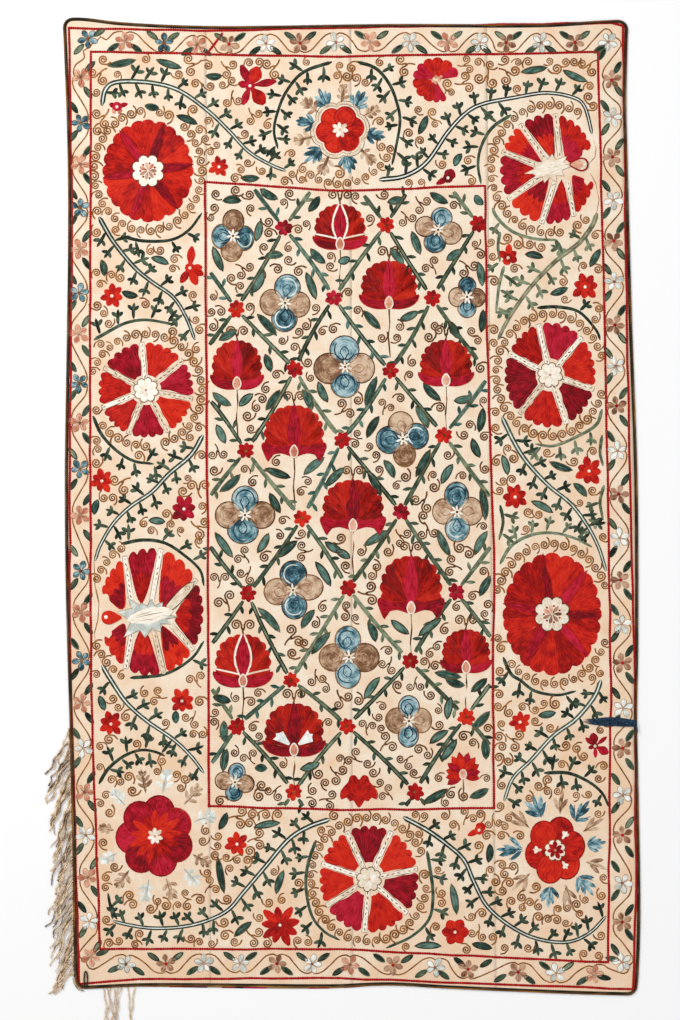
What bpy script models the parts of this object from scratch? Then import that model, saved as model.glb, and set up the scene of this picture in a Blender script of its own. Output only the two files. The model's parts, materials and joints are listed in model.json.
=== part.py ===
"""An embroidered suzani lying flat, face up, with what is left of its fringe.

Four loom-width cotton panels are sewn edge to edge over one lining. A narrow woven braid binds
the outer edge, a cotton fringe hangs on at the lower left, a yarn loop is tied over the corner
there, and a tuft of blue threads lies over the right edge. Metres, +Z up, +Y towards the top of
the cloth. The lining lies on the surface.
"""

import math
import random
from collections import namedtuple

import bmesh
import bpy
from mathutils import Vector

# Layers, from the surface up
GAP = 0.0003
LINING_THICKNESS = 0.0010
PANEL_THICKNESS = 0.0016
BRAID_THICKNESS = 0.0022
PANEL_UNDERSIDE = LINING_THICKNESS + GAP

# The outer edge of the braid, read round the cloth from its middle
EdgePoint = namedtuple("EdgePoint", "along across")
LEFT_EDGE = (
    EdgePoint(along=-1.250, across=-0.661),
    EdgePoint(along=-1.100, across=-0.665),
    EdgePoint(along=-0.850, across=-0.668),
    EdgePoint(along=-0.575, across=-0.675),
    EdgePoint(along=-0.225, across=-0.685),
    EdgePoint(along=0.075, across=-0.688),
    EdgePoint(along=0.375, across=-0.684),
    EdgePoint(along=0.675, across=-0.680),
    EdgePoint(along=0.925, across=-0.682),
    EdgePoint(along=1.250, across=-0.694),
)
RIGHT_EDGE = (
    EdgePoint(along=-1.250, across=0.743),
    EdgePoint(along=-1.025, across=0.751),
    EdgePoint(along=-0.725, across=0.747),
    EdgePoint(along=-0.525, across=0.743),
    EdgePoint(along=-0.325, across=0.746),
    EdgePoint(along=0.075, across=0.744),
    EdgePoint(along=0.475, across=0.730),
    EdgePoint(along=0.875, across=0.719),
    EdgePoint(along=1.025, across=0.716),
    EdgePoint(along=1.250, across=0.721),
)
TOP_EDGE = (
    EdgePoint(along=-0.705, across=1.229),
    EdgePoint(along=-0.647, across=1.231),
    EdgePoint(along=-0.550, across=1.220),
    EdgePoint(along=-0.400, across=1.212),
    EdgePoint(along=-0.250, across=1.210),
    EdgePoint(along=0.125, across=1.215),
    EdgePoint(along=0.500, across=1.215),
    EdgePoint(along=0.680, across=1.225),
    EdgePoint(along=0.760, across=1.226),
)
BOTTOM_EDGE = (
    EdgePoint(along=-0.705, across=-1.200),
    EdgePoint(along=-0.625, across=-1.197),
    EdgePoint(along=-0.475, across=-1.191),
    EdgePoint(along=-0.025, across=-1.194),
    EdgePoint(along=0.125, across=-1.189),
    EdgePoint(along=0.275, across=-1.197),
    EdgePoint(along=0.575, across=-1.210),
    EdgePoint(along=0.760, across=-1.215),
)
BRAID_WIDTH = 0.0085

# The braid's section, from its inner lower corner outwards and back, in shares of its size
BraidCorner = namedtuple("BraidCorner", "out up")
BRAID_PROFILE = (
    BraidCorner(out=0.00, up=0.00),
    BraidCorner(out=1.00, up=0.00),
    BraidCorner(out=1.00, up=0.55),
    BraidCorner(out=0.72, up=1.00),
    BraidCorner(out=0.28, up=1.00),
    BraidCorner(out=0.00, up=0.70),
)
BRAID_END_SHARE = 0.05
CORNER_RADIUS = 0.016

# The seams between the loom widths lean a little, as the panels were sewn by hand
Seam = namedtuple("Seam", "at_bottom at_top")
SEAMS = (
    Seam(at_bottom=-0.322, at_top=-0.334),
    Seam(at_bottom=0.032, at_top=0.028),
    Seam(at_bottom=0.391, at_top=0.367),
)
SEAM_PUCKER = 0.0009
SEAM_PUCKER_REACH = 0.030
HALF_LENGTH = 1.22

# Soft ridges that the cloth keeps as it lies: the middle, the way each runs, and its size
Ripple = namedtuple("Ripple", "x y degrees length width height")
RIPPLES = (
    Ripple(x=0.020, y=0.98, degrees=88, length=0.42, width=0.060, height=0.0026),
    Ripple(x=0.445, y=0.78, degrees=92, length=0.55, width=0.055, height=0.0030),
    Ripple(x=-0.560, y=1.12, degrees=78, length=0.24, width=0.070, height=0.0022),
    Ripple(x=-0.270, y=1.10, degrees=97, length=0.26, width=0.070, height=0.0018),
    Ripple(x=0.600, y=1.08, degrees=112, length=0.30, width=0.075, height=0.0024),
    Ripple(x=-0.470, y=0.30, degrees=86, length=0.60, width=0.080, height=0.0019),
    Ripple(x=0.090, y=0.20, degrees=95, length=0.50, width=0.085, height=0.0016),
    Ripple(x=0.450, y=-0.25, degrees=90, length=0.62, width=0.060, height=0.0028),
    Ripple(x=-0.160, y=-0.40, degrees=84, length=0.44, width=0.080, height=0.0017),
    Ripple(x=0.060, y=-0.82, degrees=93, length=0.40, width=0.070, height=0.0022),
    Ripple(x=-0.520, y=-0.86, degrees=64, length=0.36, width=0.085, height=0.0024),
    Ripple(x=0.560, y=-1.00, degrees=118, length=0.34, width=0.080, height=0.0022),
    Ripple(x=-0.250, y=-1.12, degrees=101, length=0.22, width=0.070, height=0.0019),
)
FLAT_MARGIN = 0.05

# The lining shows below the braid along part of the bottom edge
LINING_INSET = 0.0010
LINING_SHOWS_FROM = -0.500
LINING_SHOWS_TO = 0.090
LINING_SHOWS_BY = 0.0035

# How finely the panels are divided
PANEL_COLUMNS = 6
PANEL_ROWS = 28
CORNER_ROWS = (0.0, 0.12, 0.42)

# The fringe: a heading strip against the braid, and the strands that grow from it
HEADING_WIDTH = 0.0034
HEADING_THICKNESS = 0.0024
STRAND_THICKNESS = 0.0019
STRAND_PITCH = 0.0060
STRAND_ROOT = 0.0035
STRAND_STEPS = 5
LEFT_FRINGE_TOP = -0.550
LEFT_FRINGE_BOTTOM = -1.168
LOOSE_STRANDS = 2
FRINGE_REACH = 0.057
FRINGE_DROP = 0.084
FRINGE_SWAY = 0.012
FRINGE_SWAY_PERIOD = 0.300
FRINGE_BOW = 0.9
FRINGE_SAG = 1.15
STRAND_TAPER = 0.35
SHORTEST_STRAND = 0.80
FIRST_STRANDS_SHARE = 0.55
STRANDS_TO_FULL_REACH = 14
LOOSE_STRAND_REACH = 0.35
LOOSE_STRAND_LENGTH = 0.45
SWAY_IN_REACH = 0.4
BOTTOM_FRINGE_FROM = -0.594
BOTTOM_FRINGE_TO = -0.514
BOTTOM_FRINGE_DROP = 0.105
BOTTOM_FRINGE_LEAN = 0.006
BOTTOM_STRAND_WIDTH_SHARE = 0.75
CORNER_TURN_STEPS = 6
CORNER_TURN_DEGREES = 80
CORNER_TURN_GAP = 0.0009
FRINGE_SEED = 4

# The yarn loop that is tied over the bottom left corner
LOOP_MIDDLE = Vector((-0.635, -1.172))
LOOP_LENGTH = 0.046
LOOP_WIDTH = 0.0125
LOOP_HEIGHT = 0.0050
LOOP_DEGREES = 88
LOOP_TAPER = 0.5

# The tuft of blue threads, from the right edge inwards
TUFT_Y = -0.530
TUFT_LENGTH = 0.142
TUFT_HALF_WIDTH = 0.0115
TUFT_LOCKS = 7
TUFT_LOCK_WIDTH = 0.0023
TUFT_LOCK_THICKNESS = 0.0030
TUFT_HEAD_LENGTH = 0.024
TUFT_DEGREES = 186
TUFT_CLEARANCE = 0.0012
TUFT_NECK_SHARE = 0.35
TUFT_UNEVENNESS = 0.22
TUFT_UNEVEN_STEP = 2.1
TUFT_BULGE = 0.22
TUFT_TAPER = 0.45

Finish = namedtuple("Finish", "colour roughness")
COTTON = Finish(colour=(0.90, 0.75, 0.60), roughness=0.90)
PRINTED_COTTON = Finish(colour=(0.55, 0.20, 0.16), roughness=0.88)
SILK_BRAID = Finish(colour=(0.035, 0.040, 0.028), roughness=0.70)
FRINGE_YARN = Finish(colour=(0.42, 0.33, 0.25), roughness=0.92)
BLUE_SILK = Finish(colour=(0.010, 0.042, 0.085), roughness=0.55)


def clear_scene():
    """Removes the objects of the startup scene."""
    for obj in list(bpy.data.objects):
        bpy.data.objects.remove(obj)


def curve_through(points, along):
    """The smooth curve through a table of edge points, read at one place along it."""
    last = len(points) - 1
    index = 0
    while index < last - 1 and along > points[index + 1].along:
        index += 1
    start, end = points[index], points[index + 1]
    before, after = points[max(index - 1, 0)], points[min(index + 2, last)]
    span = end.along - start.along
    share = min(max((along - start.along) / span, 0.0), 1.0)
    slope_in = (end.across - before.across) / (end.along - before.along) * span
    slope_out = (after.across - start.across) / (after.along - start.along) * span
    square, cube = share**2, share**3
    return (
        (2 * cube - 3 * square + 1) * start.across
        + (cube - 2 * square + share) * slope_in
        + (3 * square - 2 * cube) * end.across
        + (cube - square) * slope_out
    )


def corner_inset(distance):
    """How far a round corner draws the side in, at a distance from the top or bottom edge."""
    short = CORNER_RADIUS - min(max(distance, 0.0), CORNER_RADIUS)
    return CORNER_RADIUS - math.sqrt(CORNER_RADIUS**2 - short**2)


def seam_x(seam, y):
    """Where a seam lies at a height on the cloth."""
    return seam.at_bottom + (seam.at_top - seam.at_bottom) * (y / HALF_LENGTH + 1) / 2


def panel_side(number, y, to_edge):
    """The x of a panel's side. Sides 0 and 4 are the cloth's own, and 1 to 3 are seams."""
    if number == 0:
        return curve_through(LEFT_EDGE, y) + BRAID_WIDTH + GAP + corner_inset(to_edge)
    if number == len(SEAMS) + 1:
        return curve_through(RIGHT_EDGE, y) - BRAID_WIDTH - GAP - corner_inset(to_edge)
    return seam_x(SEAMS[number - 1], y)


def top_y(x):
    """The panels' top edge, inside the braid."""
    return curve_through(TOP_EDGE, x) - BRAID_WIDTH - GAP


def bottom_y(x):
    """The panels' bottom edge, inside the braid."""
    return curve_through(BOTTOM_EDGE, x) + BRAID_WIDTH + GAP


def row_stations():
    """Shares of the way up the cloth at which a panel has a row of points."""
    end = CORNER_RADIUS / (2 * HALF_LENGTH)
    low = [end * share for share in CORNER_ROWS]
    middle = [end + (1 - 2 * end) * row / PANEL_ROWS for row in range(PANEL_ROWS + 1)]
    return low + middle + [1 - share for share in reversed(low)]


def panel_point(number, column_share, row_share):
    """The plan position of a point on a panel, from its shares across and up."""
    y = HALF_LENGTH * (2 * row_share - 1)
    to_edge = min(row_share, 1 - row_share) * 2 * HALF_LENGTH
    left = panel_side(number, y, to_edge) + (GAP / 2 if number > 0 else 0)
    right = panel_side(number + 1, y, to_edge) - (GAP / 2 if number < len(SEAMS) else 0)
    x = left + (right - left) * column_share
    low, high = bottom_y(x), top_y(x)
    return Vector((x, low + (high - low) * row_share))


def ripple_height(ripple, x, y):
    """How far one soft ridge lifts the cloth at a point."""
    turn = math.radians(ripple.degrees)
    dx, dy = x - ripple.x, y - ripple.y
    along = dx * math.cos(turn) + dy * math.sin(turn)
    across = -dx * math.sin(turn) + dy * math.cos(turn)
    return ripple.height * math.exp(-((across / ripple.width) ** 2) - (2 * along / ripple.length) ** 2)


def lift(x, y):
    """How far the panels stand off the lining at a point: ripples, and puckers along the seams."""
    edge = min(
        x - curve_through(LEFT_EDGE, y),
        curve_through(RIGHT_EDGE, y) - x,
        curve_through(TOP_EDGE, x) - y,
        y - curve_through(BOTTOM_EDGE, x),
    )
    fade = min(max((edge - BRAID_WIDTH) / FLAT_MARGIN, 0.0), 1.0)
    height = sum(ripple_height(ripple, x, y) for ripple in RIPPLES) * fade
    for seam in SEAMS:
        near = (x - seam_x(seam, y)) / SEAM_PUCKER_REACH
        height += SEAM_PUCKER * math.exp(-(near**2)) * fade
    return height


def material(name, finish):
    """A plain cloth or yarn material."""
    made = bpy.data.materials.new(name)
    made.use_nodes = True
    shader = made.node_tree.nodes["Principled BSDF"]
    shader.inputs["Base Color"].default_value = (*finish.colour, 1.0)
    shader.inputs["Roughness"].default_value = finish.roughness
    shader.inputs["Metallic"].default_value = 0.0
    return made


def add_object(name, bm, finish_material, parent):
    """Turns a finished bmesh into a named object under the suzani's empty."""
    bmesh.ops.recalc_face_normals(bm, faces=bm.faces)
    mesh = bpy.data.meshes.new(name)
    bm.to_mesh(mesh)
    bm.free()
    mesh.materials.append(finish_material)
    obj = bpy.data.objects.new(name, mesh)
    bpy.context.scene.collection.objects.link(obj)
    obj.parent = parent
    return obj


def add_panel(name, number, finish_material, parent):
    """One loom width: a grid laid on the plan, lifted by the ripples and given its thickness."""
    rows = row_stations()
    bm = bmesh.new()
    bmesh.ops.create_grid(bm, x_segments=PANEL_COLUMNS, y_segments=len(rows) - 1, size=0.5)
    for vert in bm.verts:
        row = round((vert.co.y + 0.5) * (len(rows) - 1))
        place = panel_point(number, vert.co.x + 0.5, rows[row])
        vert.co = (place.x, place.y, PANEL_UNDERSIDE + lift(place.x, place.y))
    grown = bmesh.ops.extrude_face_region(bm, geom=bm.faces[:], use_keep_orig=True)
    raised = [part for part in grown["geom"] if isinstance(part, bmesh.types.BMVert)]
    bmesh.ops.translate(bm, verts=raised, vec=(0, 0, PANEL_THICKNESS))
    return add_object(name, bm, finish_material, parent)


def panel_outline():
    """The panels' joint outline, anticlockwise from the bottom left corner."""
    rows = row_stations()
    columns = [column / PANEL_COLUMNS for column in range(PANEL_COLUMNS)]
    last = len(SEAMS)
    bottom = [panel_point(n, share, 0.0) for n in range(last + 1) for share in columns]
    right = [panel_point(last, 1.0, share) for share in rows[:-1]]
    top = [panel_point(n, 1 - share, 1.0) for n in range(last, -1, -1) for share in columns]
    left = [panel_point(0, 0.0, share) for share in reversed(rows[1:])]
    return bottom + right + top + left


def outward_normals(outline):
    """The outward direction at each point of an anticlockwise outline."""
    normals = []
    for index, point in enumerate(outline):
        ahead = outline[(index + 1) % len(outline)]
        along = (ahead - point).normalized() + (point - outline[index - 1]).normalized()
        normals.append(Vector((along.y, -along.x)).normalized())
    return normals


def braid_edge(outline):
    """The outer edge of the braid, as the line of points that its sides run through."""
    outset = GAP + BRAID_WIDTH
    return [point + normal * outset for point, normal in zip(outline, outward_normals(outline))]


def lowest_crossing(edge, place, axis, other):
    """The smallest value on one axis at which a closed line of points crosses a place on the other."""
    crossings = []
    for first, second in zip(edge, edge[1:] + edge[:1]):
        if min(first[other], second[other]) <= place < max(first[other], second[other]):
            share = (place - first[other]) / (second[other] - first[other])
            crossings.append(first[axis] + (second[axis] - first[axis]) * share)
    return min(crossings)


def lining_outset(point, normal):
    """How far the lining's edge lies outside the panels': just short of the braid's outer side,
    and past it where the lining has slipped into view along the bottom."""
    hidden = GAP + BRAID_WIDTH - LINING_INSET
    if side_faced(normal) != "bottom":
        return hidden
    middle = (LINING_SHOWS_FROM + LINING_SHOWS_TO) / 2
    half = (LINING_SHOWS_TO - LINING_SHOWS_FROM) / 2
    shown = max(0.0, 1 - ((point.x - middle) / half) ** 2)
    return hidden + (LINING_INSET + LINING_SHOWS_BY) * math.sqrt(shown)


def add_lining(outline, finish_material, parent):
    """One flat sheet under everything, which the suzani rests on."""
    bm = bmesh.new()
    corners = [
        point + normal * lining_outset(point, normal)
        for point, normal in zip(outline, outward_normals(outline))
    ]
    face = bm.faces.new([bm.verts.new((corner.x, corner.y, 0.0)) for corner in corners])
    grown = bmesh.ops.extrude_face_region(bm, geom=[face], use_keep_orig=True)
    raised = [part for part in grown["geom"] if isinstance(part, bmesh.types.BMVert)]
    bmesh.ops.translate(bm, verts=raised, vec=(0, 0, LINING_THICKNESS))
    return add_object("lining", bm, finish_material, parent)


def join_sections(bm, sections):
    """Side faces between each ring of points and the next."""
    for ring, following in zip(sections, sections[1:]):
        for index in range(len(ring)):
            after = (index + 1) % len(ring)
            bm.faces.new((ring[index], ring[after], following[after], following[index]))


def loft(bm, rings):
    """A closed tube through rings of points, with a face on each end."""
    sections = [[bm.verts.new(point) for point in ring] for ring in rings]
    join_sections(bm, sections)
    bm.faces.new(reversed(sections[0]))
    bm.faces.new(sections[-1])
    return sections


def braid_section(point, normal):
    """One crowned section of the braid, outside a point of the panels' outline."""
    section = []
    for share_out, share_up in BRAID_PROFILE:
        place = point + normal * (GAP + share_out * BRAID_WIDTH)
        section.append(Vector((place.x, place.y, PANEL_UNDERSIDE + share_up * BRAID_THICKNESS)))
    return section


def side_faced(normal):
    """The name of the side that a point of the outline belongs to, by the way it faces."""
    if abs(normal.x) > abs(normal.y):
        return "right" if normal.x > 0 else "left"
    return "top" if normal.y > 0 else "bottom"


def between(first, second, share):
    """A section of the braid part of the way from one to the next."""
    return [a.lerp(b, share) for a, b in zip(first, second)]


def add_braid(side, outline, finish_material, parent):
    """One side of the woven edge, from the middle of one corner to the middle of the next."""
    normals = outward_normals(outline)
    sections = [braid_section(point, normal) for point, normal in zip(outline, normals)]
    on_side = [side_faced(normal) == side for normal in normals]
    count = len(outline)
    first = next(index for index in range(count) if on_side[index] and not on_side[index - 1])
    own = [(first + step) % count for step in range(sum(on_side))]
    after = (own[-1] + 1) % count
    rings = [between(sections[first], sections[first - 1], 0.5 - BRAID_END_SHARE)]
    rings += [sections[index] for index in own]
    rings.append(between(sections[own[-1]], sections[after], 0.5 - BRAID_END_SHARE))
    bm = bmesh.new()
    loft(bm, rings)
    return add_object(f"braid_{side}", bm, finish_material, parent)


def grow_strand(bm, root_face, centres, half_widths, width_way):
    """Grows a four-sided strand out of a heading's side face, through the centres given."""
    ring = list(root_face.verts)
    middle = root_face.calc_center_median()
    bm.faces.remove(root_face)
    sections = [ring]
    for centre, half_width in zip(centres, half_widths):
        section = []
        for vert in ring:
            side = math.copysign(half_width, (vert.co - middle).xy.dot(width_way))
            height = STRAND_THICKNESS if vert.co.z > middle.z else 0.0
            place = centre + width_way * side
            section.append(bm.verts.new((place.x, place.y, height)))
        sections.append(section)
    join_sections(bm, sections)
    bm.faces.new(sections[-1])


def strand_shape(reach, drop, share_of_length):
    """Offsets down one strand: first out from the heading, then ever more along the drop."""
    offsets = []
    for step in range(1, STRAND_STEPS + 1):
        share = step / STRAND_STEPS * share_of_length
        out = reach * math.sin(share * math.pi / 2) ** FRINGE_BOW
        offsets.append(Vector((out, drop * share**FRINGE_SAG)))
    return offsets


def strand_half_widths():
    """Half the strand's width at each step, a little narrower towards its tip."""
    shares = [step / STRAND_STEPS for step in range(1, STRAND_STEPS + 1)]
    return [STRAND_ROOT / 2 * (1 - STRAND_TAPER * share) for share in shares]


def heading_ring(point, outward, width, thickness):
    """A four-sided section of a heading strip, from its inner side outwards."""
    outer = point + outward * width
    return [
        (point.x, point.y, 0.0),
        (outer.x, outer.y, 0.0),
        (outer.x, outer.y, thickness),
        (point.x, point.y, thickness),
    ]


def outer_side_face(first, second):
    """The face of a heading between two sections, on its outer side."""
    shared = set(first[1].link_faces) & set(first[2].link_faces) & set(second[1].link_faces)
    return shared.pop()


def add_left_fringe(edge, finish_material, parent):
    """The side fringe: slanting strands from a heading that goes on round the corner."""
    rng = random.Random(FRINGE_SEED)
    outward = Vector((-1.0, 0.0))
    count = int((LEFT_FRINGE_TOP - LEFT_FRINGE_BOTTOM) / STRAND_PITCH)
    points = []
    for index in range(count):
        root_top = LEFT_FRINGE_TOP - index * STRAND_PITCH
        for y in (root_top, root_top - STRAND_ROOT):
            points.append(Vector((lowest_crossing(edge, y, axis=0, other=1) - GAP, y)))
    rings = [heading_ring(p, outward, HEADING_WIDTH, HEADING_THICKNESS) for p in points]
    bm = bmesh.new()
    sections = loft(bm, rings + corner_turn_rings())
    for index in range(count):
        root = outer_side_face(sections[2 * index], sections[2 * index + 1])
        middle = root.calc_center_median().xy
        sway = math.sin(2 * math.pi * index * STRAND_PITCH / FRINGE_SWAY_PERIOD)
        grown_in = min(1.0, FIRST_STRANDS_SHARE + index / STRANDS_TO_FULL_REACH)
        reach = -(FRINGE_REACH + SWAY_IN_REACH * FRINGE_SWAY * sway) * grown_in
        drop = -(FRINGE_DROP - FRINGE_SWAY * sway)
        kept = rng.uniform(SHORTEST_STRAND, 1.0)
        if index < LOOSE_STRANDS:
            reach *= LOOSE_STRAND_REACH
            kept = LOOSE_STRAND_LENGTH
        centres = [middle + offset for offset in strand_shape(reach, drop, kept)]
        grow_strand(bm, root, centres, strand_half_widths(), Vector((0.0, -1.0)))
    return add_object("fringe_left", bm, finish_material, parent)


def corner_turn_rings():
    """The heading's bare end, which turns round the bottom left corner just outside the braid."""
    radius = CORNER_RADIUS + BRAID_WIDTH + GAP
    corner_x = curve_through(LEFT_EDGE, -HALF_LENGTH) + radius
    corner_y = curve_through(BOTTOM_EDGE, corner_x) + radius
    rings = []
    for step in range(1, CORNER_TURN_STEPS + 1):
        turn = math.radians(180 + CORNER_TURN_DEGREES * step / CORNER_TURN_STEPS)
        outward = Vector((math.cos(turn), math.sin(turn)))
        place = Vector((corner_x, corner_y)) + outward * (radius + CORNER_TURN_GAP)
        rings.append(heading_ring(place, outward, HEADING_WIDTH, HEADING_THICKNESS))
    return rings


def add_bottom_fringe(edge, finish_material, parent):
    """The few strands left on the bottom edge."""
    rng = random.Random(FRINGE_SEED + 1)
    outward = Vector((0.0, -1.0))
    count = int((BOTTOM_FRINGE_TO - BOTTOM_FRINGE_FROM) / STRAND_PITCH)
    points = []
    for index in range(count):
        root_left = BOTTOM_FRINGE_FROM + index * STRAND_PITCH
        for x in (root_left, root_left + STRAND_ROOT):
            points.append(Vector((x, lowest_crossing(edge, x, axis=1, other=0) - GAP)))
    rings = [heading_ring(p, outward, HEADING_WIDTH, HEADING_THICKNESS) for p in points]
    bm = bmesh.new()
    sections = loft(bm, rings)
    for index in range(count):
        root = outer_side_face(sections[2 * index], sections[2 * index + 1])
        middle = root.calc_center_median().xy
        lean = BOTTOM_FRINGE_LEAN * math.sin(index / count * math.pi)
        kept = rng.uniform(SHORTEST_STRAND, 1.0)
        centres = []
        for step in range(1, STRAND_STEPS + 1):
            share = step / STRAND_STEPS * kept
            sideways = lean * math.sin(share * math.pi)
            centres.append(middle + Vector((sideways, -BOTTOM_FRINGE_DROP * share)))
        half_widths = [BOTTOM_STRAND_WIDTH_SHARE * width for width in strand_half_widths()]
        grow_strand(bm, root, centres, half_widths, Vector((1.0, 0.0)))
    return add_object("fringe_bottom", bm, finish_material, parent)


def add_corner_loop(finish_material, parent):
    """The flat loop of yarn over the bottom left corner, broader at its outer end."""
    bm = bmesh.new()
    bmesh.ops.create_uvsphere(bm, u_segments=14, v_segments=8, radius=0.5)
    turn = math.radians(LOOP_DEGREES)
    base = PANEL_UNDERSIDE + BRAID_THICKNESS + GAP
    for vert in bm.verts:
        along = vert.co.x * LOOP_LENGTH
        across = vert.co.y * LOOP_WIDTH * (1 - LOOP_TAPER * vert.co.x)
        x = LOOP_MIDDLE.x + along * math.cos(turn) - across * math.sin(turn)
        y = LOOP_MIDDLE.y + along * math.sin(turn) + across * math.cos(turn)
        vert.co = (x, y, base + (vert.co.z + 0.5) * LOOP_HEIGHT)
    return add_object("corner_loop", bm, finish_material, parent)


def face_top(x, y):
    """The height of the panels' upper face at a point."""
    return PANEL_UNDERSIDE + PANEL_THICKNESS + lift(x, y)


def add_tuft(finish_material, parent):
    """The blue threads: a head over the right edge, and locks that lie in on the cloth."""
    turn = math.radians(TUFT_DEGREES)
    way = Vector((math.cos(turn), math.sin(turn)))
    side = Vector((-way.y, way.x))
    start = Vector((curve_through(RIGHT_EDGE, TUFT_Y), TUFT_Y))
    over_braid = PANEL_UNDERSIDE + BRAID_THICKNESS + GAP
    lock_offsets = [
        TUFT_HALF_WIDTH * (2 * index / (TUFT_LOCKS - 1) - 1) for index in range(TUFT_LOCKS)
    ]

    def station(distance, across, height):
        place = start + way * distance + side * across
        base = max(over_braid, face_top(place.x, place.y) + TUFT_CLEARANCE)
        return (place.x, place.y, base + height)

    edges = []
    for offset in lock_offsets:
        edges += [offset - TUFT_LOCK_WIDTH / 2, offset + TUFT_LOCK_WIDTH / 2]
    bm = bmesh.new()
    head = []
    for across in edges:
        near = TUFT_NECK_SHARE * across
        head.append([
            station(0.0, near, 0.0),
            station(TUFT_HEAD_LENGTH, across, 0.0),
            station(TUFT_HEAD_LENGTH, across, TUFT_LOCK_THICKNESS),
            station(0.0, near, TUFT_LOCK_THICKNESS),
        ])
    sections = loft(bm, head)
    for index, offset in enumerate(lock_offsets):
        root = outer_side_face(sections[2 * index], sections[2 * index + 1])
        uneven = 1 - TUFT_UNEVENNESS * (1 - math.cos(TUFT_UNEVEN_STEP * index)) / 2
        length = (TUFT_LENGTH - TUFT_HEAD_LENGTH) * uneven
        grow_lock(bm, root, station, offset, length)
    return add_object("thread_tuft", bm, finish_material, parent)


def grow_lock(bm, root_face, station, offset, length):
    """One lock of the tuft, from the head's far face, following the cloth below it."""
    ring = list(root_face.verts)
    middle = root_face.calc_center_median()
    side_sign = [math.copysign(1.0, middle.y - vert.co.y) for vert in ring]
    top = [vert.co.z > middle.z for vert in ring]
    bm.faces.remove(root_face)
    sections = [ring]
    for step in range(1, STRAND_STEPS + 1):
        share = step / STRAND_STEPS
        distance = TUFT_HEAD_LENGTH + length * share
        across = offset * (1 + TUFT_BULGE * math.sin(share * math.pi))
        half = TUFT_LOCK_WIDTH / 2 * (1 - TUFT_TAPER * share)
        height = TUFT_LOCK_THICKNESS * (1 - TUFT_TAPER * share)
        section = []
        for sign, is_top in zip(side_sign, top):
            section.append(bm.verts.new(station(distance, across + sign * half, height if is_top else 0.0)))
        sections.append(section)
    join_sections(bm, sections)
    bm.faces.new(sections[-1])


def set_origin(parent):
    """Moves the suzani so that its box stands centred on the origin, on the surface."""
    corners = [vert.co for child in parent.children for vert in child.data.vertices]
    xs = [corner.x for corner in corners]
    ys = [corner.y for corner in corners]
    parent.location = (-(min(xs) + max(xs)) / 2, -(min(ys) + max(ys)) / 2, 0.0)


def main():
    """Builds every sub-part of the suzani."""
    clear_scene()
    suzani = bpy.data.objects.new("suzani", None)
    bpy.context.scene.collection.objects.link(suzani)
    cotton = material("cotton", COTTON)
    yarn = material("fringe_yarn", FRINGE_YARN)
    outline = panel_outline()
    for number, name in enumerate(("panel_left", "panel_mid_left", "panel_mid_right", "panel_right")):
        add_panel(name, number, cotton, suzani)
    add_lining(outline, material("printed_cotton", PRINTED_COTTON), suzani)
    braid = material("silk_braid", SILK_BRAID)
    for side in ("top", "right", "bottom", "left"):
        add_braid(side, outline, braid, suzani)
    edge = braid_edge(outline)
    add_left_fringe(edge, yarn, suzani)
    add_bottom_fringe(edge, yarn, suzani)
    add_corner_loop(braid, suzani)
    add_tuft(material("blue_silk", BLUE_SILK), suzani)
    set_origin(suzani)


main()
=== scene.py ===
"""Dresses the suzani: cotton ground, silk motifs, stitched lines, edge braid and worn fringe.

The cloth is drawn on a chart of 680 by 1020 units, 2.5 mm to a unit, which is read from the top
left corner as embroiderers read theirs. Every motif is a shape of its own, drawn by a rule, laid
on the chart, raised as silk is, and then settled on the cloth's soft ripples.
"""

from __future__ import annotations

import json
import logging
import math
import random
from dataclasses import dataclass, field
from enum import Enum
from typing import Callable, Iterable, NamedTuple, Sequence

import bpy
import numpy as np
from bpy.types import Material, Mesh, Node, NodeSocket, NodeTree, Object
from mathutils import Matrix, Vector

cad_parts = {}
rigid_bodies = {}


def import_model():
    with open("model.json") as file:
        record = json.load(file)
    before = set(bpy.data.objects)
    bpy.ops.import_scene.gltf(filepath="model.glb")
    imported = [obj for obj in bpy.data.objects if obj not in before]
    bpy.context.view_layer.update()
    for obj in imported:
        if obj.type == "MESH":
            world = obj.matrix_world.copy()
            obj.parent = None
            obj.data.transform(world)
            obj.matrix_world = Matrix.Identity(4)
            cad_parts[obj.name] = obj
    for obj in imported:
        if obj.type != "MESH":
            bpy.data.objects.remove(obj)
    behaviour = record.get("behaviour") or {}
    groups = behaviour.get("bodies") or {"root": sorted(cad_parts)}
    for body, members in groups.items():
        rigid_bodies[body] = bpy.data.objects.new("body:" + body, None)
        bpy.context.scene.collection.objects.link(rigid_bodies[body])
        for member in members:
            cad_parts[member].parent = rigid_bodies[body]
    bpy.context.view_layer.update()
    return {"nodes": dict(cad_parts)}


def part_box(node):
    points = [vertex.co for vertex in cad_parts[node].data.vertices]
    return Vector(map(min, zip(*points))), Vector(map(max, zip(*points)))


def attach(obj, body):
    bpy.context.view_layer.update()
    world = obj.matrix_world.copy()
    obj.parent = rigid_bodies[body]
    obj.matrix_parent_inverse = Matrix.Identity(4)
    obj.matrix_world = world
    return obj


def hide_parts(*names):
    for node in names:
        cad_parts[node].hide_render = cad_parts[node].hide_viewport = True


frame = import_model()

log = logging.getLogger("suzani")

UNIT = 0.0025
CHART_MIDDLE = (340.0, 510.0)
BODY = "root"
SEED = 1880

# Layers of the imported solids, from the surface up, in metres
GAP = 0.0003
LINING_TOP = 0.0010
PANEL_UNDERSIDE = LINING_TOP + GAP
PANEL_THICKNESS = 0.0016
BRAID_WIDTH = 0.0085
BRAID_THICKNESS = 0.0022
CLOTH_THICKNESS = 0.0009
CORNER_RADIUS = 0.016
BRAID_REACH = (0.7510, 1.2310)
HALF_LENGTH = 1.22

Points = np.ndarray


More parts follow.
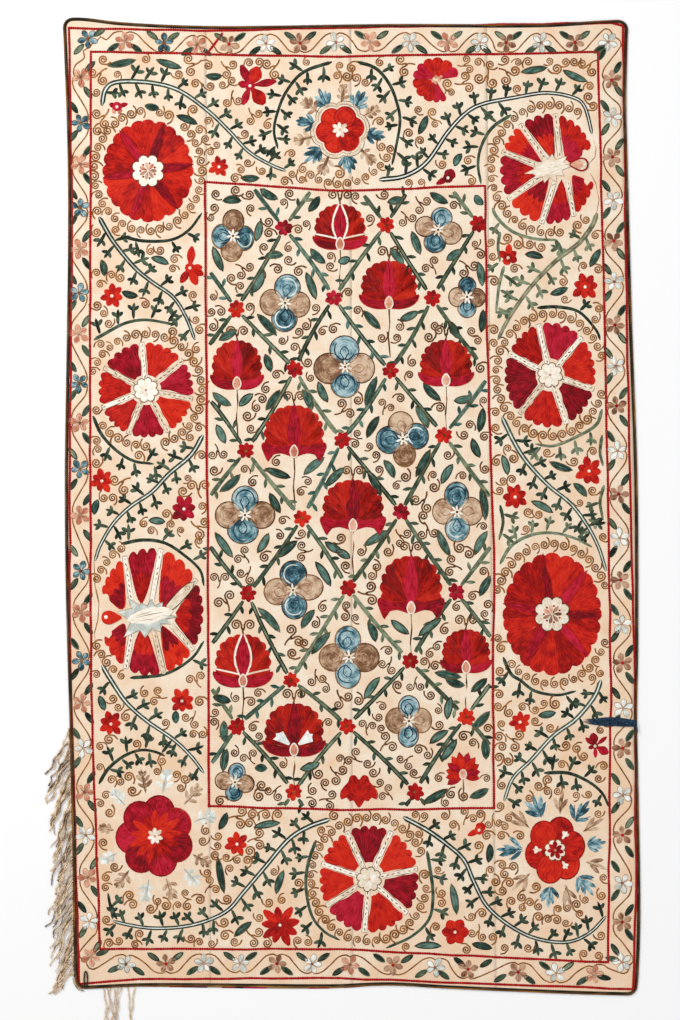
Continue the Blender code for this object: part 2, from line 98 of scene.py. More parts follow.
def rows_of(kind: type, *values: tuple) -> tuple:
    """Rows of a table, each with its values in the order of the kind's own columns."""
    return tuple(kind(*row) for row in values)


class EdgePoint(NamedTuple):
    """A point of the braid's outer edge: the place along it, and how far out it lies there."""

    along: float
    across: float


class Ripple(NamedTuple):
    """A soft ridge in the cloth: its middle, the way it runs, and its size, in metres."""

    x: float
    y: float
    degrees: float
    length: float
    width: float
    height: float


LEFT_EDGE = rows_of(
    EdgePoint, (-1.250, -0.661), (-1.100, -0.665), (-0.850, -0.668), (-0.575, -0.675), (-0.225, -0.685),
    (0.075, -0.688), (0.375, -0.684), (0.675, -0.680), (0.925, -0.682), (1.250, -0.694)
)
RIGHT_EDGE = rows_of(
    EdgePoint, (-1.250, 0.743), (-1.025, 0.751), (-0.725, 0.747), (-0.525, 0.743), (-0.325, 0.746),
    (0.075, 0.744), (0.475, 0.730), (0.875, 0.719), (1.025, 0.716), (1.250, 0.721)
)
TOP_EDGE = rows_of(
    EdgePoint, (-0.705, 1.229), (-0.647, 1.231), (-0.550, 1.220), (-0.400, 1.212), (-0.250, 1.210),
    (0.125, 1.215), (0.500, 1.215), (0.680, 1.225), (0.760, 1.226)
)
BOTTOM_EDGE = rows_of(
    EdgePoint, (-0.705, -1.200), (-0.625, -1.197), (-0.475, -1.191), (-0.025, -1.194), (0.125, -1.189),
    (0.275, -1.197), (0.575, -1.210), (0.760, -1.215)
)
RIPPLES = rows_of(
    Ripple, (0.020, 0.98, 88, 0.42, 0.060, 0.0026), (0.445, 0.78, 92, 0.55, 0.055, 0.0030),
    (-0.560, 1.12, 78, 0.24, 0.070, 0.0022), (-0.270, 1.10, 97, 0.26, 0.070, 0.0018),
    (0.600, 1.08, 112, 0.30, 0.075, 0.0024), (-0.470, 0.30, 86, 0.60, 0.080, 0.0019),
    (0.090, 0.20, 95, 0.50, 0.085, 0.0016), (0.450, -0.25, 90, 0.62, 0.060, 0.0028),
    (-0.160, -0.40, 84, 0.44, 0.080, 0.0017), (0.060, -0.82, 93, 0.40, 0.070, 0.0022),
    (-0.520, -0.86, 64, 0.36, 0.085, 0.0024), (0.560, -1.00, 118, 0.34, 0.080, 0.0022),
    (-0.250, -1.12, 101, 0.22, 0.070, 0.0019)
)
SEAMS = ((-0.322, -0.334), (0.032, 0.028), (0.391, 0.367))
SEAM_PUCKER = 0.00012
SEAM_PUCKER_REACH = 0.030
SEAM_GAP = 0.00005
FLAT_MARGIN = 0.05
PANELS = ("panel_left", "panel_mid_left", "panel_mid_right", "panel_right")
SIDES = ("top", "right", "bottom", "left")


def through(table: Sequence[EdgePoint], along: Points) -> Points:
    """The smooth curve through a table of edge points.

    Args:
        table: the edge points, in order.
        along: the places to read it at.

    Returns:
        How far out the edge lies at each place.
    """
    places = np.array([row.along for row in table])
    values = np.array([row.across for row in table])
    slopes = np.gradient(values, places)
    for index in range(1, len(table) - 1):
        rise = values[index + 1] - values[index - 1]
        slopes[index] = rise / (places[index + 1] - places[index - 1])
    along = np.clip(np.asarray(along, float), places[0], places[-1])
    at = np.clip(np.searchsorted(places, along, side="right") - 1, 0, len(places) - 2)
    span = places[at + 1] - places[at]
    t = (along - places[at]) / span
    return (
        (2 * t**3 - 3 * t**2 + 1) * values[at] + (t**3 - 2 * t**2 + t) * slopes[at] * span
        + (3 * t**2 - 2 * t**3) * values[at + 1] + (t**3 - t**2) * slopes[at + 1] * span
    )


@dataclass
class Cloth:
    """The lie of the cloth: where the chart falls in the frame, and how high the face stands."""

    shift: tuple[float, float] = (0.0, 0.0)
    rumple_height: float = 0.00022
    rumples: list[tuple[float, float, float]] = field(default_factory=list)

    def __post_init__(self) -> None:
        """Finds the frame's shift, and draws the small rumples that the silk pulls."""
        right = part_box("braid_right")[1].x
        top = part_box("braid_top")[1].y
        self.shift = (right - BRAID_REACH[0], top - BRAID_REACH[1])
        rng = random.Random(SEED)
        for _ in range(14):
            turn = rng.uniform(0, math.pi)
            pitch = 2 * math.pi / rng.uniform(0.028, 0.075)
            self.rumples.append((pitch * math.cos(turn), pitch * math.sin(turn), rng.uniform(0, 6.28)))

    def seam(self, number: int, y: Points) -> Points:
        """Where a seam lies at a height on the cloth."""
        at_bottom, at_top = SEAMS[number]
        return at_bottom + (at_top - at_bottom) * (np.asarray(y) / HALF_LENGTH + 1) / 2

    def lift(self, x: Points, y: Points) -> Points:
        """How far the cloth stands off the lining.

        Args:
            x: places across, from the chart's middle, in metres.
            y: places up, from the chart's middle, in metres.

        Returns:
            The height of the ripples, seam puckers and rumples at each place.
        """
        edge = np.minimum.reduce([
            x - through(LEFT_EDGE, y), through(RIGHT_EDGE, y) - x, through(TOP_EDGE, x) - y,
            y - through(BOTTOM_EDGE, x)
        ])
        fade = np.clip((edge - BRAID_WIDTH) / FLAT_MARGIN, 0.0, 1.0)
        height = np.zeros_like(x)
        for ripple in RIPPLES:
            turn = math.radians(ripple.degrees)
            dx, dy = x - ripple.x, y - ripple.y
            along = dx * math.cos(turn) + dy * math.sin(turn)
            across = -dx * math.sin(turn) + dy * math.cos(turn)
            height += ripple.height * np.exp(
                -((across / ripple.width) ** 2) - (2 * along / ripple.length) ** 2
            )
        for number in range(len(SEAMS)):
            near = (x - self.seam(number, y)) / SEAM_PUCKER_REACH
            height += SEAM_PUCKER * np.exp(-(near**2))
        rumple = sum(np.sin(a * x + b * y + c) for a, b, c in self.rumples)
        return (height + self.rumple_height * (1 + rumple / 3.5)) * fade

    def face(self, x: Points, y: Points) -> Points:
        """The height of the cloth's upper face, from the surface it lies on."""
        return PANEL_UNDERSIDE + PANEL_THICKNESS - 0.0006 + self.lift(x, y)

    def settle(self, points: Points) -> Points:
        """Takes chart points to the frame and lays them on the cloth.

        Args:
            points: rows of across and down in chart units, and height over the cloth in metres.

        Returns:
            Rows of x, y and z in the frame.
        """
        x = (points[:, 0] - CHART_MIDDLE[0]) * UNIT
        y = (CHART_MIDDLE[1] - points[:, 1]) * UNIT
        z = self.face(x, y) + points[:, 2]
        return np.column_stack((x + self.shift[0], y + self.shift[1], z))


class Silk(Enum):
    """The silks in the workbasket. Each value is its material's name."""

    RED = "silk_red"
    CRIMSON = "silk_crimson"
    BOTTLE = "silk_bottle_green"
    SAGE = "silk_sage"
    TEAL = "silk_teal"
    SKY = "silk_sky_blue"
    TAUPE = "silk_taupe"
    RUST = "silk_rust_brown"
    HONEY = "silk_honey_brown"
    CREAM = "silk_cream"
    BRICK = "silk_brick"
    ROSE = "silk_rose"
    LINE = "silk_line_red"
    DEEP = "silk_deep_red"
    PALE = "silk_pale_blue"
    INK = "silk_ink"


class Lay(Enum):
    """The way threads lie in a filled shape."""

    RADIAL = "radial"
    AROUND = "around"
    FAN = "fan"
    LENGTHWISE = "lengthwise"


def linear(colour: Sequence[int]) -> tuple[float, float, float, float]:
    """A colour seen as 0 to 255, turned into the linear values that shaders take."""
    shares = [value / 255 for value in colour]
    red, green, blue = [s / 12.92 if s <= 0.04045 else ((s + 0.055) / 1.055) ** 2.4 for s in shares]
    return (red, green, blue, 1.0)


class NodeSketch:
    """A short way to write node trees."""

    def __init__(self, tree: NodeTree) -> None:
        """Starts on a tree, which may hold nodes already."""
        self.tree = tree

    def add(self, kind: str, settings: dict | None = None, **inputs: object) -> Node:
        """Adds a node.

        Args:
            kind: the node's type.
            settings: the node's own properties.
            inputs: values or sockets by input name, with _ for a space, or by number as n0, n1.

        Returns:
            The node.
        """
        node = self.tree.nodes.new(kind)
        for name, value in (settings or {}).items():
            setattr(node, name, value)
        for name, value in inputs.items():
            if name[0] == "n" and name[1:].isdigit():
                socket = node.inputs[int(name[1:])]
            else:
                socket = node.inputs[name.replace("_", " ")]
            self.feed(socket, value)
        return node

    def feed(self, socket: NodeSocket, value: object) -> None:
        """Links a socket to another, or sets its value."""
        if isinstance(value, NodeSocket):
            self.tree.links.new(value, socket)
        else:
            socket.default_value = value

    def math(self, operation: str, a: object, b: object = 0.0, clamp: bool = False) -> NodeSocket:
        """A Math node's result."""
        node = self.add("ShaderNodeMath", {"operation": operation, "use_clamp": clamp}, n0=a, n1=b)
        return node.outputs[0]

    def ramp(self, factor: object, stops: Sequence[tuple[float, tuple]]) -> NodeSocket:
        """A colour ramp's result, through stops of a place and a colour."""
        node = self.add("ShaderNodeValToRGB", Fac=factor)
        elements = node.color_ramp.elements
        while len(elements) < len(stops):
            elements.new(1.0)
        for element, (place, colour) in zip(elements, stops):
            element.position = place
            element.color = colour
        return node.outputs["Color"]


def shader_group(
    name: str, inputs: Sequence[tuple[str, str, object]], outputs: Sequence[tuple[str, str]]
) -> tuple[NodeSketch, Node, Node]:
    """Starts a shader node group.

    Args:
        name: the group's name.
        inputs: socket names, kinds and defaults.
        outputs: socket names and kinds.

    Returns:
        The sketch to add nodes with, and the group's input and output nodes.
    """
    group = bpy.data.node_groups.new(name, "ShaderNodeTree")
    for label, kind, default in inputs:
        socket = group.interface.new_socket(label, in_out="INPUT", socket_type=f"NodeSocket{kind}")
        if default is not None:
            socket.default_value = default
    for label, kind in outputs:
        group.interface.new_socket(label, in_out="OUTPUT", socket_type=f"NodeSocket{kind}")
    sketch = NodeSketch(group)
    return sketch, group.nodes.new("NodeGroupInput"), group.nodes.new("NodeGroupOutput")


def thread_group() -> NodeTree:
    """Silk laid side by side: a tone that streaks along the threads, and the threads' relief."""
    sketch, entry, exit_ = shader_group(
        "laid_threads",
        [
            ("Vector", "Vector", None), ("Thread", "Float", 0.0011), ("Streak", "Float", 0.02),
            ("Mottle", "Float", 0.5)
        ],
        [("Tone", "Float"), ("Relief", "Float")]
    )
    parts = sketch.add("ShaderNodeSeparateXYZ", Vector=entry.outputs["Vector"])
    across = sketch.math("DIVIDE", parts.outputs["X"], entry.outputs["Thread"])
    along = sketch.math("DIVIDE", parts.outputs["Y"], entry.outputs["Streak"])
    place = sketch.add("ShaderNodeCombineXYZ", X=sketch.math("MULTIPLY", across, 0.33), Y=along)
    streaks = sketch.add("ShaderNodeTexNoise", Vector=place.outputs[0], Scale=1.0, Detail=3.0, Roughness=0.62)
    object_place = sketch.add("ShaderNodeTexCoord")
    cloud = sketch.add("ShaderNodeTexNoise", Vector=object_place.outputs["Object"], Scale=48.0, Detail=2.0)
    mottled = sketch.math(
        "MULTIPLY", sketch.math("SUBTRACT", cloud.outputs["Fac"], 0.5), entry.outputs["Mottle"]
    )
    tone = sketch.math("ADD", streaks.outputs["Fac"], mottled)
    ridge = sketch.math("ABSOLUTE", sketch.math("SINE", sketch.math("MULTIPLY", across, math.pi)))
    relief = sketch.math("ADD", ridge, sketch.math("MULTIPLY", streaks.outputs["Fac"], 0.8))
    sketch.feed(exit_.inputs["Tone"], tone)
    sketch.feed(exit_.inputs["Relief"], relief)
    return sketch.tree


def weave_group() -> NodeTree:
    """Plain hand weaving: slubbed warp and weft relief, thread tone, and soft stains."""
    sketch, entry, exit_ = shader_group(
        "hand_weave", [("Pitch", "Float", 0.0011), ("Stain Size", "Float", 0.09)],
        [("Relief", "Float"), ("Slub", "Float"), ("Stain", "Float")]
    )
    place = sketch.add("ShaderNodeTexCoord").outputs["Object"]
    parts = sketch.add("ShaderNodeSeparateXYZ", Vector=place)
    warp = sketch.math("SINE", sketch.math(
        "DIVIDE", sketch.math("MULTIPLY", parts.outputs["X"], math.pi), entry.outputs["Pitch"]
    ))
    weft = sketch.math("SINE", sketch.math(
        "DIVIDE", sketch.math("MULTIPLY", parts.outputs["Y"], math.pi), entry.outputs["Pitch"]
    ))
    long_warp = sketch.add("ShaderNodeMapping", Vector=place, Scale=(520.0, 22.0, 1.0))
    long_weft = sketch.add("ShaderNodeMapping", Vector=place, Scale=(26.0, 560.0, 1.0))
    warp_slub = sketch.add("ShaderNodeTexNoise", Vector=long_warp.outputs[0], Scale=1.0, Detail=2.0)
    weft_slub = sketch.add("ShaderNodeTexNoise", Vector=long_weft.outputs[0], Scale=1.0, Detail=2.0)
    slub = sketch.math("ADD", warp_slub.outputs["Fac"], weft_slub.outputs["Fac"])
    stain = sketch.add(
        "ShaderNodeTexNoise", Vector=place, Scale=sketch.math("DIVIDE", 1.0, entry.outputs["Stain Size"]),
        Detail=4.0, Roughness=0.6
    )
    sketch.feed(exit_.inputs["Relief"], sketch.math("ADD", sketch.math("MULTIPLY", warp, weft), slub))
    sketch.feed(exit_.inputs["Slub"], sketch.math("MULTIPLY", slub, 0.5))
    sketch.feed(exit_.inputs["Stain"], stain.outputs["Fac"])
    return sketch.tree


class Workshop:
    """Holds what materials share: the node groups, and the materials made so far."""

    def __init__(self) -> None:
        """Builds the shared groups once."""
        self.threads = thread_group()
        self.weave = weave_group()
        self.made: dict[str, Material] = {}

    def start(self, name: str, roughness: float, sheen: float) -> tuple[NodeSketch, Node]:
        """Starts a material and returns its sketch and its Principled shader."""
        material = bpy.data.materials.new(name)
        material.use_nodes = True
        shader = material.node_tree.nodes["Principled BSDF"]
        shader.inputs["Roughness"].default_value = roughness
        shader.inputs["Sheen Weight"].default_value = sheen
        shader.inputs["Sheen Roughness"].default_value = 0.4
        shader.inputs["Specular IOR Level"].default_value = 0.14
        self.made[name] = material
        return NodeSketch(material.node_tree), shader

    def bump(
        self, sketch: NodeSketch, shader: Node, height: object, distance: float, strength: float
    ) -> None:
        """Feeds a height to the shader's normal."""
        bump = sketch.add("ShaderNodeBump", Strength=strength, Distance=distance, Height=height)
        sketch.feed(shader.inputs["Normal"], bump.outputs["Normal"])


@dataclass(frozen=True)
class SilkFinish:
    """Loosely twisted silk, couched in long threads. Colours are as seen, 0 to 255."""

    silk: Silk
    deep: tuple[int, int, int]
    plain: tuple[int, int, int]
    pale: tuple[int, int, int]
    mottle: float = 0.5
    streak: float = 0.020
    roughness: float = 0.55

    def material(self, shop: Workshop) -> Material:
        """Makes the silk's material, with streaks along its threads."""
        sketch, shader = shop.start(self.silk.value, self.roughness, 0.04)
        uv = sketch.add("ShaderNodeUVMap", {"uv_map": "threads"})
        group = sketch.add("ShaderNodeGroup", {"node_tree": shop.threads}, Vector=uv.outputs[0])
        group.inputs["Streak"].default_value = self.streak
        group.inputs["Mottle"].default_value = self.mottle
        shade = sketch.add("ShaderNodeAttribute", {"attribute_name": "shade"})
        tone = sketch.math(
            "ADD", group.outputs["Tone"], sketch.math("MULTIPLY", shade.outputs["Fac"], 0.16), True
        )
        stops = [(0.30, linear(self.deep)), (0.50, linear(self.plain)), (0.74, linear(self.pale))]
        sketch.feed(shader.inputs["Base Color"], sketch.ramp(tone, stops))
        shop.bump(sketch, shader, group.outputs["Relief"], 0.00025, 0.5)
        return shop.made[self.silk.value]


SILKS = (
    SilkFinish(Silk.RED, (132, 2, 2), (190, 22, 8), (214, 46, 18), mottle=0.55),
    SilkFinish(Silk.DEEP, (108, 2, 0), (168, 12, 2), (196, 38, 12), mottle=0.5),
    SilkFinish(Silk.CRIMSON, (100, 0, 8), (158, 2, 26), (194, 28, 56), mottle=0.5),
    SilkFinish(Silk.BOTTLE, (14, 26, 18), (44, 60, 44), (84, 100, 80), mottle=0.7),
    SilkFinish(Silk.SAGE, (52, 62, 44), (88, 100, 76), (136, 146, 118), mottle=0.7),
    SilkFinish(Silk.TEAL, (20, 44, 38), (50, 84, 74), (104, 136, 124), mottle=0.7),
    SilkFinish(Silk.SKY, (28, 58, 66), (80, 124, 136), (170, 194, 196), mottle=0.9, streak=0.012),
    SilkFinish(Silk.TAUPE, (116, 80, 54), (176, 140, 110), (214, 188, 160), mottle=0.9, streak=0.012),
    SilkFinish(Silk.RUST, (54, 28, 6), (104, 62, 22), (146, 98, 48), mottle=0.7),
    SilkFinish(Silk.HONEY, (84, 46, 12), (142, 88, 36), (178, 126, 70), mottle=0.7),
    SilkFinish(Silk.CREAM, (214, 192, 164), (240, 228, 208), (252, 246, 236), mottle=0.4),
    SilkFinish(Silk.BRICK, (110, 66, 46), (160, 114, 88), (198, 158, 130), mottle=0.8),
    SilkFinish(Silk.ROSE, (176, 100, 76), (208, 142, 114), (232, 184, 156), mottle=0.6),
    SilkFinish(Silk.LINE, (112, 0, 2), (160, 2, 8), (188, 22, 18), mottle=0.3),
    SilkFinish(Silk.PALE, (182, 188, 180), (222, 226, 218), (246, 246, 240), mottle=0.8),
    SilkFinish(Silk.INK, (10, 24, 36), (22, 48, 66), (52, 88, 108), mottle=0.6, roughness=0.45)
)


@dataclass(frozen=True)
class CottonFinish:
    """Undyed hand-woven cotton, cream with a peach blush in random stains where the dyes have run, and
    painted shade that darkens it to peach towards the bottom and the outer edges.
    """

    name: str = "cotton_ground"
    cream: tuple[int, int, int] = (242, 228, 208)
    peach_of_stains_and_shade: tuple[int, int, int] = (234, 200, 168)
    thread: tuple[int, int, int] = (226, 198, 166)

    def material(self, shop: Workshop) -> Material:
        """Makes the cotton's material from weave, slubs, stains and painted shade towards the bottom and the
        edges.
        """
        sketch, shader = shop.start(self.name, 0.92, 0.1)
        weave = sketch.add("ShaderNodeGroup", {"node_tree": shop.weave})
        parts = sketch.add("ShaderNodeSeparateXYZ", Vector=sketch.add("ShaderNodeTexCoord").outputs["Object"])
        # Painted shade: the cloth turns darker and peachier lower down, and past |x| 0.30 and |y| 0.76
        # towards the outer edges.
        low = sketch.math("MULTIPLY", parts.outputs["Y"], -0.06)
        wide = sketch.math("ADD", sketch.math("ABSOLUTE", parts.outputs["X"]), -0.30, True)
        tall = sketch.math("ADD", sketch.math("ABSOLUTE", parts.outputs["Y"]), -0.76, True)
        out = sketch.math("MULTIPLY", sketch.math("MAXIMUM", wide, tall), 0.26)
        stains_with_shade = sketch.math("ADD", sketch.math("ADD", weave.outputs["Stain"], low), out)
        # One ramp colours both the random stains and the painted shade, from cream to the darker peach.
        stain = sketch.ramp(stains_with_shade, [(0.40, linear(self.cream)), (0.72, linear(self.peach_of_stains_and_shade))])
        slub = sketch.math("MULTIPLY", sketch.math("SUBTRACT", weave.outputs["Slub"], 0.42), 2.2, True)
        mixed = sketch.add("ShaderNodeMix", {"data_type": "RGBA"}, n0=slub, n6=stain, n7=linear(self.thread))
        sketch.feed(shader.inputs["Base Color"], mixed.outputs[2])
        shop.bump(sketch, shader, weave.outputs["Relief"], 0.0002, 0.5)
        return shop.made[self.name]


class Place(NamedTuple):
    """Where a motif goes on the chart, how far it is turned, anticlockwise, and its size."""

    u: float
    v: float
    turn: float = 0.0
    size: float = 1.0

    def at(self, points: Points | Sequence) -> Points:
        """Takes points of the motif's own sheet, drawn with up as up, to the chart."""
        points = np.asarray(points, float).reshape(-1, 2) * self.size
        c, s = math.cos(math.radians(self.turn)), math.sin(math.radians(self.turn))
        return np.column_stack((
            self.u + points[:, 0] * c - points[:, 1] * s, self.v - points[:, 0] * s - points[:, 1] * c
        ))

    def near(self, a: float, b: float, turn: float = 0.0, size: float = 1.0) -> Place:
        """A place set out from this one, by a point of its own sheet."""
        u, v = self.at([(a, b)])[0]
        return Place(u, v, self.turn + turn, self.size * size)


def polar(radius: float, degrees: float) -> tuple[float, float]:
    """A point at a distance and an angle, anticlockwise from the right."""
    return (radius * math.cos(math.radians(degrees)), radius * math.sin(math.radians(degrees)))


def smooth(points: Sequence | Points, step: float = 3.0, closed: bool = False) -> Points:
    """A smooth line through points.

    Args:
        points: the points to pass through.
        step: about how far apart the line's own points are.
        closed: whether the line comes back to its start.

    Returns:
        The line's points.
    """
    given = np.asarray(points, float)
    if closed:
        run = np.vstack((given[-1], given, given[0], given[1]))
    else:
        run = np.vstack((2 * given[0] - given[1], given, 2 * given[-1] - given[-2]))
    line = []
    for a, b, c, d in zip(run, run[1:], run[2:], run[3:]):
        count = max(2, int(round(np.linalg.norm(c - b) / step)))
        t = (np.arange(count) / count)[:, None]
        line.append(
            0.5 * (2 * b + (c - a) * t + (2 * a - 5 * b + 4 * c - d) * t**2 + (3 * b - a - 3 * c + d) * t**3)
        )
    if not closed:
        line.append(given[-1][None])
    return np.vstack(line)


def tangents(path: Points) -> Points:
    """Unit directions along a line of points."""
    ways = np.gradient(path, axis=0)
    return ways / np.maximum(np.linalg.norm(ways, axis=1), 1e-9)[:, None]


def lens(length: float, width: float, points: int = 5, sharp: float = 0.8) -> Points:
    """A leaf's outline, from its base at the origin to its tip on the right."""
    t = np.linspace(0, 1, points + 1)
    half = width / 2 * np.sin(np.pi * t) ** sharp
    upper = np.column_stack((t * length, half))
    return np.vstack((upper, upper[-2:0:-1] * (1, -1)))


def scallops(
    radius_a: float, radius_b: float, count: int, depth: float, steps: int = 7, phase: float = 0.0
) -> Points:
    """A round outline with scallops.

    Args:
        radius_a: half the width.
        radius_b: half the height.
        count: how many scallops.
        depth: how deep the notches are, as a share of the radius.
        steps: points to each scallop.
        phase: degrees by which the scallops are turned.

    Returns:
        The outline, anticlockwise.
    """
    turn = np.arange(count * steps) / (count * steps) * 2 * np.pi
    bulge = np.abs(np.sin(count * turn / 2)) ** 0.6
    radius = 1 - depth + depth * bulge
    angle = turn + math.radians(phase)
    return np.column_stack((radius_a * radius * np.cos(angle), radius_b * radius * np.sin(angle)))


class Stitching:
    """Gathers filled shapes and lines on the chart, and makes one raised mesh of them."""

    layer_step = 0.00032
    crown = 0.00055
    rim = -0.00014
    hem = 0.00006

    def __init__(self, name: str, cloth: Cloth, shop: Workshop, taken: Taken | None = None) -> None:
        """Starts an empty piece of needlework."""
        self.name, self.cloth, self.shop, self.taken = name, cloth, shop, taken
        self.points: list[Points] = []
        self.faces: dict[int, list[Points]] = {3: [], 4: []}
        self.uvs: dict[int, list[Points]] = {3: [], 4: []}
        self.silks: dict[int, list[Points]] = {3: [], 4: []}
        self.shades: dict[int, list[Points]] = {3: [], 4: []}
        self.count = 0
        self.rng = random.Random(f"{SEED}{name}")

    def _add(self, points: Points, silk: Silk, shade: float, parts: Iterable[tuple[Points, Points]]) -> None:
        """Adds points, and faces with their corners' thread places."""
        for faces, uv in parts:
            corners = faces.shape[1]
            self.faces[corners].append(faces + self.count)
            self.uvs[corners].append(uv)
            self.silks[corners].append(np.full(len(faces), list(Silk).index(silk)))
            self.shades[corners].append(np.full(len(faces), shade))
        self.points.append(points)
        self.count += len(points)
        if self.taken is not None:
            self.taken.mark(points[:, :2])

    def fill(
        self, outline: Points, silk: Silk, *, source: Sequence[float] | None = None, lay: Lay = Lay.RADIAL,
        layer: int = 0, crown: float = 1.0, shares: Sequence[float] = (1.0, 0.88, 0.55)
    ) -> None:
        """Fills a shape with silk.

        Args:
            outline: the shape on the chart, seen whole from its centre.
            silk: the silk to fill it with.
            source: the point that a fan's threads spread from, or that long threads run from.
            lay: the way the threads lie.
            layer: how many fillings lie below this one.
            crown: how full it is, against the usual.
            shares: sizes of the rings that raise it, from the outline inwards.
        """
        outline = np.asarray(outline, float)
        x, y = outline[:, 0], -outline[:, 1]
        if np.sum(x * np.roll(y, -1) - np.roll(x, -1) * y) < 0:
            outline = outline[::-1]
        n = len(outline)
        middle = outline.mean(axis=0)
        base = layer * self.layer_step
        full = self.crown * crown
        heights = [base + self.hem if layer else self.rim] + [
            base + full * (0.75 + 0.25 * k) for k in range(len(shares) - 1)
        ]
        rings = [
            np.column_stack((middle + (outline - middle) * s, np.full(n, h))) for s, h in zip(shares, heights)
        ]
        points = np.vstack(rings + [np.array([[*middle, base + full]])])
        j = np.arange(n)
        k = (j + 1) % n
        radius = np.linalg.norm(outline - middle, axis=1) * UNIT
        jitter = self.rng.uniform(0, 5.0)
        round_place = np.arange(n + 1) / n * 2 * np.pi * radius.mean() + jitter
        spin = self.rng.uniform(0, 1.0)

        def thread_place(index: Points, column: Points, share: float) -> Points:
            """Across and along the threads, for points of one ring."""
            out = radius[index] * share
            if lay is Lay.RADIAL:
                return np.column_stack((round_place[column], out + spin))
            if lay is Lay.AROUND:
                return np.column_stack((out + jitter, round_place[column] * 0.4))
            way = (outline[index] - middle) * share * UNIT
            if lay is Lay.FAN:
                way = way + start * UNIT
                turn = np.arctan2(way @ side, way @ main) * np.linalg.norm(start) * UNIT * 1.2
                return np.column_stack((turn + jitter, np.linalg.norm(way, axis=1) + spin))
            return np.column_stack((way @ side + jitter, way @ main + spin))

        start = outline[np.argmax(radius)] - middle
        if source is not None:
            start = middle - np.asarray(source, float)
        main = start / max(np.linalg.norm(start), 1e-9)
        side = np.array([-main[1], main[0]])
        parts = []
        for ring, (outer, inner) in enumerate(zip(shares, shares[1:])):
            quads = np.column_stack((ring * n + j, ring * n + k, (ring + 1) * n + k, (ring + 1) * n + j))
            uv = np.stack(
                (
                    thread_place(j, j, outer), thread_place(k, j + 1, outer), thread_place(k, j + 1, inner),
                    thread_place(j, j, inner)
                ),
                axis=1
            )
            parts.append((quads, uv))
        last = len(shares) - 1
        tris = np.column_stack((last * n + j, last * n + k, np.full(n, len(points) - 1)))
        uv = np.stack(
            (thread_place(j, j, shares[-1]), thread_place(k, j + 1, shares[-1]), thread_place(j, j, 0.0)),
            axis=1
        )
        parts.append((tris, uv))
        self._add(points, silk, self.rng.uniform(-1, 1), parts)

    def line(
        self, path: Points, width: float | Points, silk: Silk, *, layer: int = 0, crown: float = 0.7,
        ends: tuple[float, float] = (0.4, 0.4)
    ) -> None:
        """Couches a line of silk.

        Args:
            path: the line's points on the chart.
            width: its width, all along or at each point.
            silk: the silk to lay.
            layer: how many fillings lie below it.
            crown: how far it stands up, against a filling.
            ends: the width left at its two ends, as shares.
        """
        path = np.asarray(path, float)
        n = len(path)
        widths = np.full(n, float(width)) if np.isscalar(width) else np.asarray(width, float).copy()
        widths[0] *= ends[0]
        widths[-1] *= ends[1]
        way = tangents(path)
        side = np.column_stack((way[:, 1], -way[:, 0])) * (widths / 2)[:, None]
        base = layer * self.layer_step
        low, high = base + self.hem if layer else self.rim, base + self.crown * crown
        columns = ((1.0, low), (0.62, high * 0.8), (0.0, high), (-0.62, high * 0.8), (-1.0, low))
        if widths.max() < 2.2:
            columns = ((1.0, low), (0.0, high), (-1.0, low))
        points = np.vstack([np.column_stack((path - side * c, np.full(n, h))) for c, h in columns])
        run = np.concatenate(([0.0], np.cumsum(np.linalg.norm(np.diff(path, axis=0), axis=1)))) * UNIT
        run = run + self.rng.uniform(0, 5.0)
        i = np.arange(n - 1)
        parts = []
        for c in range(len(columns) - 1):
            quads = np.column_stack((c * n + i, c * n + i + 1, (c + 1) * n + i + 1, (c + 1) * n + i))
            near, far = columns[c][0] * widths / 2 * UNIT, columns[c + 1][0] * widths / 2 * UNIT
            uv = np.stack(
                (
                    np.column_stack((near[i], run[i])), np.column_stack((near[i + 1], run[i + 1])),
                    np.column_stack((far[i + 1], run[i + 1])), np.column_stack((far[i], run[i]))
                ),
                axis=1
            )
            parts.append((quads, uv))
        self._add(points, silk, self.rng.uniform(-1, 1), parts)

    def edge(self, outline: Points, width: float, silk: Silk, layer: int = 1) -> None:
        """Outlines a shape with a closed line."""
        self.line(np.vstack((outline, outline[:1])), width, silk, layer=layer, ends=(1.0, 1.0))

    def piece(self, slot: str = "embroidery_silk") -> Object:
        """Makes the mesh, settles it on the cloth and lets it ride with the body."""
        mesh = bpy.data.meshes.new(self.name)
        points = self.cloth.settle(np.vstack(self.points))
        loops, starts, sizes, silks, shades, uvs = [], [], [], [], [], []
        at = 0
        for corners in (3, 4):
            if not self.faces[corners]:
                continue
            faces = np.vstack(self.faces[corners])
            loops.append(faces.ravel())
            starts.append(at + np.arange(len(faces)) * corners)
            sizes.append(np.full(len(faces), corners))
            silks.append(np.concatenate(self.silks[corners]))
            shades.append(np.concatenate(self.shades[corners]))
            uvs.append(np.concatenate([uv.reshape(-1, 2) for uv in self.uvs[corners]]))
            at += faces.size
        used, silk_index = np.unique(np.concatenate(silks), return_inverse=True)
        mesh.vertices.add(len(points))
        mesh.vertices.foreach_set("co", points.ravel())
        mesh.loops.add(at)
        mesh.loops.foreach_set("vertex_index", np.concatenate(loops).astype(np.int32))
        mesh.polygons.add(sum(len(s) for s in sizes))
        mesh.polygons.foreach_set("loop_start", np.concatenate(starts).astype(np.int32))
        mesh.polygons.foreach_set("loop_total", np.concatenate(sizes).astype(np.int32))
        for index in used:
            mesh.materials.append(self.shop.made[list(Silk)[index].value])
        mesh.polygons.foreach_set("material_index", silk_index.astype(np.int32))
        mesh.uv_layers.new(name="threads").data.foreach_set("uv", np.concatenate(uvs).ravel())
        mesh.attributes.new("shade", "FLOAT", "FACE").data.foreach_set("value", np.concatenate(shades))
        mesh.update()
        mesh.validate()
        mesh.shade_smooth()
        return show(bpy.data.objects.new(self.name, mesh))


